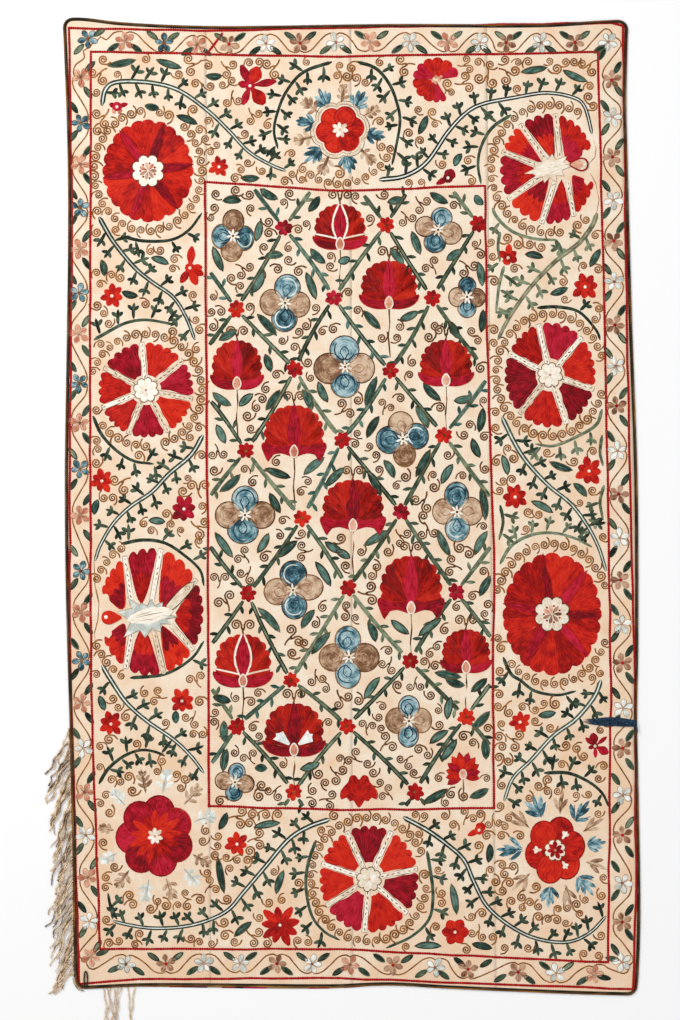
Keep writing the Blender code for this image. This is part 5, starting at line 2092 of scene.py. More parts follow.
    def lotus(self, work: Embroidery) -> None:
        """Fills the spiky lotus."""
        place = Place(463, 774)
        for number, turn in enumerate((-16, 8, 31, 54, 76, 100, 122, 145, 168, 192, 214)):
            petal = place._replace(turn=turn).at(lens(
                17 + 5.5 * math.sin(math.radians(max(turn, 0))) ** 2, 8, 6, 0.75
            ))
            silk = Silk.CRIMSON if number % 3 == 1 else Silk.RED
            work.outlined(
                petal, silk, Silk.DEEP, 0.8, lay=Lay.LENGTHWISE, source=(463, 774), layer=number % 2
            )
        work.outlined(place.at(scallops(3.4, 4.6, 1, 0.0, 12)), Silk.ROSE, Silk.CREAM, 1.2, layer=3)
        work.line(place.at([(0, -4), (0.5, -14), (0, -28)]), 2.2, Silk.RUST)
        self.taken.block(464, 765, 22, 17)


class GuardFlower(NamedTuple):
    """A flower of the narrow border: how far along its side it is, and its silk."""

    along: float
    silk: Silk


def guard_row(silks: dict[Silk, tuple[float, ...]]) -> tuple[GuardFlower, ...]:
    """Sorts a side's flowers, given for each silk, into their order along the side."""
    return tuple(sorted((GuardFlower(at, silk) for silk, places in silks.items() for at in places)))


@dataclass
class GuardBorder(Needlework):
    """The narrow border: a thin wavy vine with a small flower inside each wave."""

    waves: tuple[tuple[float, ...], ...] = ((100, 130, 560, 605), (7.4, 8.8, 8.8, 8.4))
    middles: tuple[tuple[str, tuple[tuple[float, float], ...]], ...] = (
        ("top", ((88, 39), (197, 45), (370, 42), (541, 43), (611, 42))),
        ("right", ((42, 611), (340, 615), (680, 623), (964, 622))),
        ("bottom", ((90, 966), (126, 964), (240, 963), (393, 965), (518, 972), (594, 974))),
        ("left", ((77, 81), (340, 79), (703, 82), (835, 86), (959, 91)))
    )
    top: tuple[tuple[Silk, tuple[float, ...]], ...] = (
        (Silk.SKY, (88, 164)), (Silk.ROSE, (125, 197, 370, 448)), (Silk.PALE, (266, 336, 410, 480, 541, 608)),
        (Silk.BRICK, (229, 300, 506, 575))
    )
    right: tuple[tuple[Silk, tuple[float, ...]], ...] = (
        (Silk.BRICK, (80, 157, 241, 325, 406, 494, 580, 663, 748, 835, 922)),
        (Silk.PALE, (117, 200, 282, 366, 451, 538, 624, 708, 795, 883, 962))
    )
    bottom: tuple[tuple[Silk, tuple[float, ...]], ...] = (
        (Silk.BRICK, (166, 277, 393, 468, 518)), (Silk.PALE, (126, 204, 240, 312, 435, 556)),
        (Silk.ROSE, (350, 594))
    )
    left: tuple[tuple[Silk, tuple[float, ...]], ...] = (
        (Silk.SKY, (123, 208, 293, 383, 469, 571, 660)),
        (Silk.ROSE, (77, 164, 249, 334, 423, 515, 612, 703, 792, 877, 957)), (Silk.PALE, (748, 835, 921))
    )

    def middle(self, side: str, along: float) -> tuple[float, float]:
        """A place on a side's middle line."""
        places, values = zip(*dict(self.middles)[side])
        across = float(np.interp(along, places, values))
        return (along, across) if side in ("top", "bottom") else (across, along)

    def flower(self, work: Embroidery, u: float, v: float, silk: Silk, turn: float) -> None:
        """Fills one five-petalled flower."""
        place = Place(u, v, turn + work.rng.uniform(-15, 15))
        heart = {Silk.SKY: Silk.RUST, Silk.BRICK: Silk.LINE}.get(silk, Silk.BRICK)
        for number in range(5):
            petal = Place(
                u, v, place.turn + 90 + 72 * number + work.rng.uniform(-6, 6), work.rng.uniform(0.9, 1.1)
            )
            outline = petal.at(petal_outline(9.2, 5.8, 1.5) + (0.6, 0))
            work.outlined(
                outline, silk, Silk.RUST if silk is Silk.SKY else Silk.TAUPE, 0.6, lay=Lay.LENGTHWISE,
                source=(u, v)
            )
            if silk is Silk.ROSE:
                work.line(petal.at([(1, 0), (4, 0.2), (7, 0)]), 1.6, Silk.BRICK, layer=1)
        work.disc(place, 1.7, heart, 2, points=7)

    def build(self) -> list[Object]:
        """Makes the vine with its leaves, and the flowers, a piece for each side."""
        vine = self.start("guard_vine")
        leaves = self.start("guard_leaves")
        pieces = []
        stations: list[tuple[float, float]] = []
        for side, rows, backwards in (
            ("top", self.top, False), ("right", self.right, False), ("bottom", self.bottom, True),
            ("left", self.left, True)
        ):
            flowers = self.start(f"guard_flowers_{side}")
            row = guard_row(dict(rows))
            for flower in (row[::-1] if backwards else row):
                u, v = self.middle(side, flower.along)
                self.flower(flowers, u, v, flower.silk, flowers.rng.uniform(0, 72))
                if not stations or math.dist(stations[-1], (u, v)) > 14:
                    stations.append((u, v))
            pieces.append(flowers.piece())
        self.lay_vine(vine, leaves, np.array(stations))
        return pieces + [vine.piece(), leaves.piece()]

    def lay_vine(self, vine: Embroidery, leaves: Embroidery, stations: Points) -> None:
        """Lays the vine round the flowers by turns, with two leaves where it crosses the middle."""
        count = len(stations)
        points = []
        greens = (Silk.BOTTLE, Silk.BOTTLE, Silk.SAGE)
        for index, here in enumerate(stations):
            after = stations[(index + 1) % count]
            before = stations[index - 1]
            way = after - before
            way = way / np.hypot(*way)
            wave = float(np.interp(here[0], *self.waves))
            out = np.array([way[1], -way[0]]) * (wave if index % 2 else -wave)
            reach = min(12.0, math.dist(here, after) * 0.30)
            points += [
                here + way * reach * side + out * high
                for side, high in ((-1, 0.85), (-0.35, 1.08), (0, 0.86), (0.35, 1.08), (1, 0.85))
            ]
            points.append((here + after) / 2)
            link = after - here
            if math.dist(here, after) > 60:
                continue
            heading = math.degrees(math.atan2(-link[1], link[0]))
            slope = 38 if index % 2 else -38
            for side in (1, -1):
                spot = Place(*((here + after) / 2), heading).near(
                    side * 7.5, side * math.copysign(7.0, slope)
                )
                leaves.leaf(
                    Place(spot.u, spot.v, heading + slope * -0.9), 14, 4.6, vine.rng.choice(greens),
                    Silk.BOTTLE
                )
        path = smooth(points, 3.2, closed=True)
        vine.line(np.vstack((path, path[:1])), 2.0, Silk.HONEY, ends=(1.0, 1.0))


class Handed(Enum):
    """The way a curl winds, seen from above."""

    LEFT = -1
    RIGHT = 1


def geometry_tree(name: str, inputs: Sequence[tuple[str, str, object]]) -> tuple[NodeSketch, Node, Node]:
    """Starts a geometry node tree that takes and gives a mesh.

    Args:
        name: the tree's name.
        inputs: further input names, kinds and defaults.

    Returns:
        The sketch to add nodes with, and the tree's input and output nodes.
    """
    tree = bpy.data.node_groups.new(name, "GeometryNodeTree")
    tree.interface.new_socket("Geometry", in_out="INPUT", socket_type="NodeSocketGeometry")
    for label, kind, default in inputs:
        socket = tree.interface.new_socket(label, in_out="INPUT", socket_type=f"NodeSocket{kind}")
        if default is not None:
            socket.default_value = default
    tree.interface.new_socket("Geometry", in_out="OUTPUT", socket_type="NodeSocketGeometry")
    return NodeSketch(tree), tree.nodes.new("NodeGroupInput"), tree.nodes.new("NodeGroupOutput")


def line_mesh(name: str, paths: Sequence[Points], closed: bool = False, **values: Sequence[float]) -> Mesh:
    """A mesh of bare edges along paths, or of loose points.

    Args:
        name: the mesh's name.
        paths: rows of x, y and z for each path.
        closed: whether each path comes back to its start.
        values: one number for each path, by the name of the attribute that keeps it.

    Returns:
        The mesh.
    """
    points = np.vstack(paths)
    edges, at, owner = [], 0, []
    for number, path in enumerate(paths):
        run = np.arange(at, at + len(path))
        edges.append(np.column_stack((run[:-1], run[1:])))
        if closed:
            edges.append(np.array([[run[-1], run[0]]]))
        owner += [number] * len(path)
        at += len(path)
    mesh = bpy.data.meshes.new(name)
    mesh.from_pydata(points.tolist(), np.vstack(edges).tolist() if edges else [], [])
    for label, numbers in values.items():
        data = mesh.attributes.new(label, "FLOAT", "POINT").data
        data.foreach_set("value", np.asarray(numbers, float)[owner])
    return mesh


class Loom:
    """Runs the geometry node trees that lay stitches, curls and yarns."""

    def __init__(self) -> None:
        """Builds each tree once."""
        self.stitches = self.stitches_along()
        self.motifs = self.motifs_on_points()
        self.yarns = self.twisted_yarns()

    def stitches_along(self) -> NodeTree:
        """The tree that lays one stitch after another along lines."""
        sketch, entry, exit_ = geometry_tree("stitches_along", [
            ("Stitch", "Object", None), ("Spacing", "Float", 0.006), ("Slant", "Float", 0.0),
            ("Unevenness", "Float", 0.06), ("Seed", "Int", 1), ("Silk", "Material", None)
        ])
        inputs = entry.outputs
        curve = sketch.add("GeometryNodeMeshToCurve", Mesh=inputs["Geometry"])
        points = sketch.add(
            "GeometryNodeCurveToPoints", {"mode": "LENGTH"}, Curve=curve.outputs[0], Length=inputs["Spacing"]
        )
        align = sketch.add(
            "FunctionNodeAlignRotationToVector", {"axis": "X", "pivot_axis": "Z"},
            Vector=points.outputs["Tangent"]
        )
        low = sketch.math("MULTIPLY", inputs["Unevenness"], -1.0)
        wobble = sketch.add(
            "FunctionNodeRandomValue", {"data_type": "FLOAT"}, n2=low, n3=inputs["Unevenness"],
            n8=inputs["Seed"]
        )
        slant = sketch.math("ADD", inputs["Slant"], sketch.math("MULTIPLY", wobble.outputs[1], 1.5))
        turn = sketch.add("ShaderNodeCombineXYZ", Z=slant)
        turned = sketch.add(
            "FunctionNodeRotateRotation", {"rotation_space": "LOCAL"}, n0=align.outputs[0], n1=turn.outputs[0]
        )
        size = sketch.math("ADD", 1.0, wobble.outputs[1])
        stitch = sketch.add("GeometryNodeObjectInfo", Object=inputs["Stitch"])
        laid = sketch.add(
            "GeometryNodeInstanceOnPoints", Points=points.outputs["Points"],
            Instance=stitch.outputs["Geometry"], Rotation=turned.outputs[0], Scale=size
        )
        self.finish(sketch, laid.outputs[0], inputs["Silk"], exit_)
        return sketch.tree

    def motifs_on_points(self) -> NodeTree:
        """The tree that sets a motif on each point, by its turn and size attributes."""
        sketch, entry, exit_ = geometry_tree("motifs_on_points", [
            ("Motif", "Object", None), ("Unevenness", "Float", 0.08), ("Seed", "Int", 1),
            ("Silk", "Material", None)
        ])
        inputs = entry.outputs
        points = sketch.add("GeometryNodeMeshToPoints", Mesh=inputs["Geometry"])
        turn = sketch.add("GeometryNodeInputNamedAttribute", {"data_type": "FLOAT"}, Name="turn")
        size = sketch.add("GeometryNodeInputNamedAttribute", {"data_type": "FLOAT"}, Name="size")
        low = sketch.math("MULTIPLY", inputs["Unevenness"], -1.0)
        wobble = sketch.add(
            "FunctionNodeRandomValue", {"data_type": "FLOAT"}, n2=low, n3=inputs["Unevenness"],
            n8=inputs["Seed"]
        )
        whole = sketch.math("MULTIPLY", size.outputs[0], sketch.math("ADD", 1.0, wobble.outputs[1]))
        motif = sketch.add("GeometryNodeObjectInfo", Object=inputs["Motif"])
        set_on = sketch.add(
            "GeometryNodeInstanceOnPoints", Points=points.outputs["Points"],
            Instance=motif.outputs["Geometry"],
            Rotation=sketch.add("ShaderNodeCombineXYZ", Z=turn.outputs[0]).outputs[0], Scale=whole
        )
        self.finish(sketch, set_on.outputs[0], inputs["Silk"], exit_)
        return sketch.tree

    def twisted_yarns(self) -> NodeTree:
        """The tree that spins two-ply yarns along lines."""
        sketch, entry, exit_ = geometry_tree("twisted_yarns", [
            ("Profile", "Object", None), ("Thickness", "Float", 0.0018), ("Step", "Float", 0.004),
            ("Twist", "Float", 300.0), ("Silk", "Material", None)
        ])
        inputs = entry.outputs
        curve = sketch.add("GeometryNodeMeshToCurve", Mesh=inputs["Geometry"])
        resampled = sketch.add(
            "GeometryNodeResampleCurve", {"mode": "LENGTH"}, Curve=curve.outputs[0], Length=inputs["Step"]
        )
        along = sketch.add("GeometryNodeSplineParameter").outputs["Length"]
        tilt = sketch.math("MULTIPLY", along, inputs["Twist"])
        tilted = sketch.add("GeometryNodeSetCurveTilt", Curve=resampled.outputs[0], Tilt=tilt)
        taper = sketch.add("GeometryNodeInputNamedAttribute", {"data_type": "FLOAT"}, Name="size")
        wide = sketch.math("MULTIPLY", taper.outputs[0], inputs["Thickness"])
        sized = sketch.add("GeometryNodeSetCurveRadius", Curve=tilted.outputs[0], Radius=wide)
        profile = sketch.add("GeometryNodeObjectInfo", Object=inputs["Profile"])
        ring = sketch.add("GeometryNodeMeshToCurve", Mesh=profile.outputs["Geometry"])
        spun = sketch.add(
            "GeometryNodeCurveToMesh", Curve=sized.outputs[0], Profile_Curve=ring.outputs[0], Fill_Caps=True
        )
        if "Scale" in spun.inputs:
            sketch.feed(spun.inputs["Scale"], wide)
        self.finish(sketch, spun.outputs[0], inputs["Silk"], exit_)
        return sketch.tree

    def finish(self, sketch: NodeSketch, geometry: object, silk: object, exit_: Node) -> None:
        """Ends a tree: its instances become one mesh, in its silk."""
        real = sketch.add("GeometryNodeRealizeInstances", Geometry=geometry)
        dressed = sketch.add("GeometryNodeSetMaterial", Geometry=real.outputs[0], Material=silk)
        sketch.feed(exit_.inputs[0], dressed.outputs[0])

    def run(self, tree: NodeTree, mesh: Mesh, settings: dict[str, object]) -> Mesh:
        """Runs a tree on a mesh.

        Args:
            tree: the node tree.
            mesh: what it starts from.
            settings: its inputs' values, by their names. Meshes are lent to it as objects.

        Returns:
            What it made, as a plain mesh.
        """
        scene = bpy.context.scene.collection.objects
        maker = bpy.data.objects.new(mesh.name, mesh)
        scene.link(maker)
        modifier = maker.modifiers.new("loom", "NODES")
        modifier.node_group = tree
        lent = []
        for item in tree.interface.items_tree:
            if item.item_type != "SOCKET" or item.in_out != "INPUT" or item.name not in settings:
                continue
            value = settings[item.name]
            if isinstance(value, Mesh):
                value = bpy.data.objects.new(value.name, value)
                scene.link(value)
                lent.append(value)
            modifier[item.identifier] = value
        graph = bpy.context.evaluated_depsgraph_get()
        made = bpy.data.meshes.new_from_object(maker.evaluated_get(graph))
        for obj in [maker] + lent:
            bpy.data.objects.remove(obj)
        return made


def stitch_pad(name: str, length: float, width: float, height: float, dip: float, points: int = 8) -> Mesh:
    """One stitch as a small raised pad.

    Args:
        name: the mesh's name.
        length: along its thread.
        width: across it.
        height: how far it stands up.
        dip: how far its middle sinks back, which makes it a link.
        points: points round its edge.

    Returns:
        The mesh, in metres, which lies along X.
    """
    turn = np.arange(points) / points * 2 * np.pi
    outer = np.column_stack((length / 2 * np.cos(turn), width / 2 * np.sin(turn), np.full(points, -0.0002)))
    inner = np.column_stack((outer[:, :2] * 0.62, np.full(points, height)))
    verts = np.vstack((outer, inner, [[0, 0, height - dip]]))
    faces = [(i, (i + 1) % points, points + (i + 1) % points, points + i) for i in range(points)]
    faces += [(points + i, points + (i + 1) % points, 2 * points) for i in range(points)]
    mesh = bpy.data.meshes.new(name)
    mesh.from_pydata(verts.tolist(), [], faces)
    uv = mesh.uv_layers.new(name="threads")
    for loop in mesh.loops:
        x, y, _ = mesh.vertices[loop.vertex_index].co
        uv.data[loop.index].uv = (y, x)
    mesh.shade_smooth()
    return mesh


def plain_piece(
    name: str, mesh: Mesh, cloth: Cloth | None, replaced: Sequence[str] = ()
) -> Object:
    """Shows a mesh that a tree made, settled on the cloth if it is drawn flat.

    Args:
        name: the piece's name.
        mesh: its mesh.
        cloth: the cloth to settle it on, if it was drawn flat.
        replaced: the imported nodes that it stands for.

    Returns:
        The piece.
    """
    mesh.name = name
    if cloth is not None:
        points = np.empty(len(mesh.vertices) * 3)
        mesh.vertices.foreach_get("co", points)
        points = points.reshape(-1, 3)
        points[:, 2] += cloth.face(points[:, 0], points[:, 1])
        points[:, 0] += cloth.shift[0]
        points[:, 1] += cloth.shift[1]
        mesh.vertices.foreach_set("co", points.ravel())
    mesh.shade_smooth()
    mesh.update()
    return show(bpy.data.objects.new(name, mesh), replaced)


def to_metres(path: Points) -> Points:
    """Chart points as rows of x, y and zero, from the chart's middle."""
    path = np.asarray(path, float)
    return np.column_stack((
        (path[:, 0] - CHART_MIDDLE[0]) * UNIT, (CHART_MIDDLE[1] - path[:, 1]) * UNIT, np.zeros(len(path))
    ))


@dataclass
class StitchedLines:
    """The red chain-stitched lines that part the borders and the field."""

    cloth: Cloth
    shop: Workshop
    loom: Loom
    link: float = 0.0086
    width: float = 0.0082
    spacing: float = 0.0058
    outer: tuple[tuple[float, float], ...] = (
        (69, 28), (72, 217), (70, 450), (70, 680), (74, 780), (79, 984), (139, 979), (340, 978), (492, 984),
        (633, 989), (636, 900), (635, 680), (627, 340), (623, 26), (611, 23), (340, 28), (200, 31)
    )
    middle: tuple[tuple[float, float], ...] = (
        (91, 52), (90, 340), (91, 680), (100, 949), (152, 949), (340, 949), (495, 957), (608, 962),
        (611, 680), (605, 340), (598, 52), (340, 57)
    )
    field_line: tuple[tuple[float, float], ...] = (
        (205, 182), (206, 340), (208, 548), (209, 806), (340, 810), (494, 808), (493, 680), (494, 548),
        (487, 340), (485, 186), (340, 191)
    )
    stray: tuple[tuple[float, float], ...] = ((222, 34), (214, 45), (206, 55))

    def wander(
        self, corners: Sequence[tuple[float, float]], rng: random.Random, closed: bool = True
    ) -> Points:
        """A hand-drawn line through corners: straight stretches that waver a little."""
        ends = list(corners) + ([corners[0]] if closed else [])
        points = []
        for a, b in zip(ends, ends[1:]):
            a, b = np.array(a, float), np.array(b, float)
            count = max(1, int(np.hypot(*(b - a)) / 22))
            for step in range(count):
                waver = rng.uniform(-0.55, 0.55) if step else 0.0
                way = (b - a) / np.hypot(*(b - a))
                points.append(a + (b - a) * step / count + np.array([way[1], -way[0]]) * waver)
        if not closed:
            points.append(np.array(ends[-1], float))
        return to_metres(np.array(points))

    def build(self) -> list[Object]:
        """Lays the links of every line."""
        rng = random.Random(SEED)
        pieces = []
        link = stitch_pad("chain_link", self.link, self.width, 0.00062, 0.00012)
        rows = {
            "red_line_outer": [self.wander(self.outer, rng)],
            "red_line_inner": [self.wander(self.middle, rng), self.wander(self.field_line, rng)],
            "red_line_stray": [self.wander(self.stray, rng, False)]
        }
        for name, paths in rows.items():
            lines = line_mesh(name, paths, closed=name != "red_line_stray")
            settings = {"Stitch": link, "Spacing": self.spacing, "Silk": self.shop.made[Silk.LINE.value]}
            pieces.append(plain_piece(
                name, self.loom.run(self.loom.stitches, lines, settings), self.cloth
            ))
        return pieces


def spiral(middle: tuple[float, float], radius: float, turns: float, end: float, steps: int = 20) -> Points:
    """A spiral that winds out anticlockwise and ends at an angle, in degrees."""
    share = np.linspace(0, 1, steps)
    turn = math.radians(end) - 2 * np.pi * turns * (1 - share)
    out = radius * (0.12 + 0.88 * share)
    return np.column_stack((middle[0] + out * np.cos(turn), middle[1] + out * np.sin(turn)))


@dataclass
class Curls:
    """The thin brown curls that fill the ground between the motifs."""

    cloth: Cloth
    shop: Workshop
    loom: Loom
    taken: Taken
    thread: float = 2.0
    pitch: float = 9.6
    clearance: float = 5.2
    twin_clearance: float = 9.0

    def ribbons(self, name: str, paths: Sequence[Points]) -> Mesh:
        """A mesh of raised threads along paths, in chart units."""
        verts, faces, places = [], [], []
        at = 0
        for path in paths:
            path = np.asarray(path) * UNIT
            n = len(path)
            way = tangents(path)
            side = np.column_stack((way[:, 1], -way[:, 0])) * self.thread * UNIT / 2
            run = np.concatenate(([0.0], np.cumsum(np.linalg.norm(np.diff(path, axis=0), axis=1))))
            for c, h in ((1, -0.00012), (0, 0.00048), (-1, -0.00012)):
                verts.append(np.column_stack((path + side * c, np.full(n, h))))
                places.append(np.column_stack((np.full(n, c * self.thread * UNIT / 2), run)))
            faces += [
                (at + c * n + i, at + c * n + i + 1, at + (c + 1) * n + i + 1, at + (c + 1) * n + i)
                for c in range(2) for i in range(n - 1)
            ]
            at += 3 * n
        mesh = bpy.data.meshes.new(name)
        mesh.from_pydata(np.vstack(verts).tolist(), [], faces)
        if mesh.polygons[0].normal.z < 0:
            mesh.flip_normals()
        uv = mesh.uv_layers.new(name="threads")
        places = np.vstack(places)
        for loop in mesh.loops:
            uv.data[loop.index].uv = places[loop.vertex_index]
        return mesh

    def single(self, handed: Handed) -> Mesh:
        """One curl that runs out in a hooked tail."""
        path = np.vstack((spiral((0, 0), 4.6, 1.9, 200, 19), [(-4.4, -3.6), (-3.4, -5.6), (-1.6, -7.6)]))
        return self.ribbons("curl", [path * (1, handed.value)])

    def twin(self, handed: Handed) -> Mesh:
        """Two curls on one stalk, with a third below."""
        right = np.vstack((spiral((6.1, 3.2), 4.8, 1.9, 180, 19), [(1.3, 1.0), (0.4, -1.6)]))
        stalk = [(0.0, 0.6), (0.2, -3.0), (-0.8, -6.0), (-2.6, -8.6)]
        return self.ribbons("twin_curl", [
            part * (handed.value, 1) for part in (right, right * (-1, 1), np.array(stalk))
        ])

    def ring_places(self, wheel: Wheel, gap: float) -> list[tuple[float, float, float]]:
        """Places round a flower, evenly spaced, each with the way the ring runs there."""
        wide, tall = wheel.wide + gap, wheel.tall + gap
        turn = np.linspace(0, 2 * np.pi, 721)
        oval = np.column_stack((wide * np.cos(turn), -tall * np.sin(turn))) + (wheel.u, wheel.v)
        run = np.concatenate(([0.0], np.cumsum(np.linalg.norm(np.diff(oval, axis=0), axis=1))))
        count = int(run[-1] / self.pitch)
        places = []
        for number in range(count):
            index = int(np.searchsorted(run, run[-1] * number / count))
            u, v = oval[index]
            places.append((u, v, turn[index] + math.pi / 2))
        return places

    def free_places(
        self, rng: random.Random, clearance: float, reach: float
    ) -> list[tuple[float, float, float]]:
        """Places left between the motifs, in the field and the wide border."""
        spots = [
            (u + rng.uniform(-1, 1), v + rng.uniform(-1, 1)) for u in range(94, 608, 3)
            for v in range(56, 960, 3)
        ]
        rng.shuffle(spots)
        found = []
        for u, v in spots:
            inside = within(FIELD_LINE, u, v, clearance)
            if not (inside or in_border(u, v, clearance)):
                continue
            if not self.taken.free(u, v, clearance * (1.04 if inside else 0.96)):
                continue
            found.append((u, v, rng.uniform(0, 2 * math.pi)))
            self.taken.block(u, v, reach, reach)
        return found

    def build(
        self, rings: Sequence[tuple[Wheel, float]], crowns: Sequence[tuple[float, float, float]]
    ) -> list[Object]:
        """Sets curls round each large flower, on top of the field's flowers and in what is left.

        Args:
            rings: the flowers and how far outside them the curls lie.
            crowns: places for twin curls, each with its turn.

        Returns:
            The pieces.
        """
        rng = random.Random(SEED + 7)
        pieces = []
        ringed = []
        open_from = {"roundel_top_right": 587, "roundel_left_low": 122}
        for wheel, gap in rings:
            for u, v, turn in self.ring_places(wheel, gap):
                closed = u < open_from.get(wheel.name, 999)
                if closed and self.taken.free(u, v, 2.6) and in_border(u, v, 3.0):
                    ringed.append((u, v, turn + rng.uniform(-0.3, 0.3)))
                    self.taken.block(u, v, 4.4, 4.4)
            if wheel.name in open_from:
                self.taken.block(wheel.u, wheel.v, wheel.wide + gap + 3, wheel.tall + gap + 3)
        for u, v, _ in crowns:
            self.taken.block(u, v, 9.0, 6.5)
        twins = list(crowns) + self.free_places(rng, self.twin_clearance, 8.6)
        loose = self.free_places(rng, self.clearance, 4.6)
        border, field = [
            [[p for p in some if in_border(*p[:2]) is outer] for some in (twins, loose)]
            for outer in (True, False)
        ]
        for name, places, draw, silk in (
            ("ring_curls", ringed, self.single, Silk.HONEY),
            ("border_twins", border[0], self.twin, Silk.HONEY),
            ("border_curls", border[1], self.single, Silk.HONEY),
            ("field_twins", field[0], self.twin, Silk.RUST), ("field_curls", field[1], self.single, Silk.RUST)
        ):
            for handed, some in ((Handed.LEFT, places[0::2]), (Handed.RIGHT, places[1::2])):
                spots = to_metres([(u, v) for u, v, _ in some])
                sizes = [rng.uniform(0.88, 1.10) for _ in some]
                mesh = line_mesh(name, list(spots[:, None]), turn=[t for _, _, t in some], size=sizes)
                settings = {"Motif": draw(handed), "Silk": self.shop.made[silk.value], "Seed": 3}
                grown = self.loom.run(self.loom.motifs, mesh, settings)
                title = f"{name}_{handed.name.lower()}"
                pieces.append(plain_piece(title, grown, self.cloth))
        log.info("curls: %d ringed, %d twins, %d loose", len(ringed), len(twins), len(loose))
        return pieces


def rim_path(inset: float, step: float = 0.004) -> Points:
    """The line that runs round the cloth at a distance inside its outer edge.

    Args:
        inset: how far inside the outer edge it lies, in metres.
        step: how far apart its points are.

    Returns:
        Rows of x and y from the chart's middle, anticlockwise from the lower left corner.
    """
    outer = CORNER_RADIUS + BRAID_WIDTH + GAP
    left, right = ((lambda y: through(LEFT_EDGE, y) + inset), (lambda y: through(RIGHT_EDGE, y) - inset))
    low, high = ((lambda x: through(BOTTOM_EDGE, x) + inset), (lambda x: through(TOP_EDGE, x) - inset))
    turns = []
    for x_edge, x_way, table, y_way, start in (
        (LEFT_EDGE, 1, BOTTOM_EDGE, 1, 180), (RIGHT_EDGE, -1, BOTTOM_EDGE, 1, 270),
        (RIGHT_EDGE, -1, TOP_EDGE, -1, 0), (LEFT_EDGE, 1, TOP_EDGE, -1, 90)
    ):
        x = float(through(x_edge, -y_way * HALF_LENGTH)) + x_way * outer
        y = float(through(table, x)) + y_way * outer
        turn = np.radians(np.linspace(start, start + 90, 9))
        turns.append(
            np.column_stack((x + (outer - inset) * np.cos(turn), y + (outer - inset) * np.sin(turn)))
        )
    along = np.linspace(0.01, 0.99, 120)[:, None]
    spans = [turns[n][-1] + (turns[(n + 1) % 4][0] - turns[n][-1]) * along for n in range(4)]
    spans[0][:, 1] = low(spans[0][:, 0])
    spans[1][:, 0] = right(spans[1][:, 1])
    spans[2][:, 1] = high(spans[2][:, 0])
    spans[3][:, 0] = left(spans[3][:, 1])
    path = np.vstack([part for pair in zip(turns, spans) for part in pair])
    closed = np.vstack((path, path[:1]))
    run = np.concatenate(([0.0], np.cumsum(np.linalg.norm(np.diff(closed, axis=0), axis=1))))
    at = np.arange(int(run[-1] / step)) * step
    return np.column_stack([np.interp(at, run, closed[:, axis]) for axis in (0, 1)])


@dataclass(frozen=True)
class YarnFinish:
    """Matte twisted yarn. Colours are as seen, 0 to 255."""

    name: str
    deep: tuple[int, int, int]
    plain: tuple[int, int, int]
    pale: tuple[int, int, int]
    patch: float = 30.0

    def material(self, shop: Workshop) -> Material:
        """Makes the yarn's material: patches of dye and fine fibres."""
        sketch, shader = shop.start(self.name, 0.85, 0.2)
        place = sketch.add("ShaderNodeTexCoord").outputs["Object"]
        wide = sketch.add("ShaderNodeTexNoise", Vector=place, Scale=self.patch, Detail=3.0)
        fine = sketch.add("ShaderNodeTexNoise", Vector=place, Scale=900.0, Detail=2.0)
        tone = sketch.math(
            "ADD", sketch.math("MULTIPLY", wide.outputs["Fac"], 0.7),
            sketch.math("MULTIPLY", fine.outputs["Fac"], 0.3)
        )
        stops = [(0.38, linear(self.deep)), (0.52, linear(self.plain)), (0.66, linear(self.pale))]
        sketch.feed(shader.inputs["Base Color"], sketch.ramp(tone, stops))
        shop.bump(sketch, shader, fine.outputs["Fac"], 0.0003, 0.5)
        return shop.made[self.name]


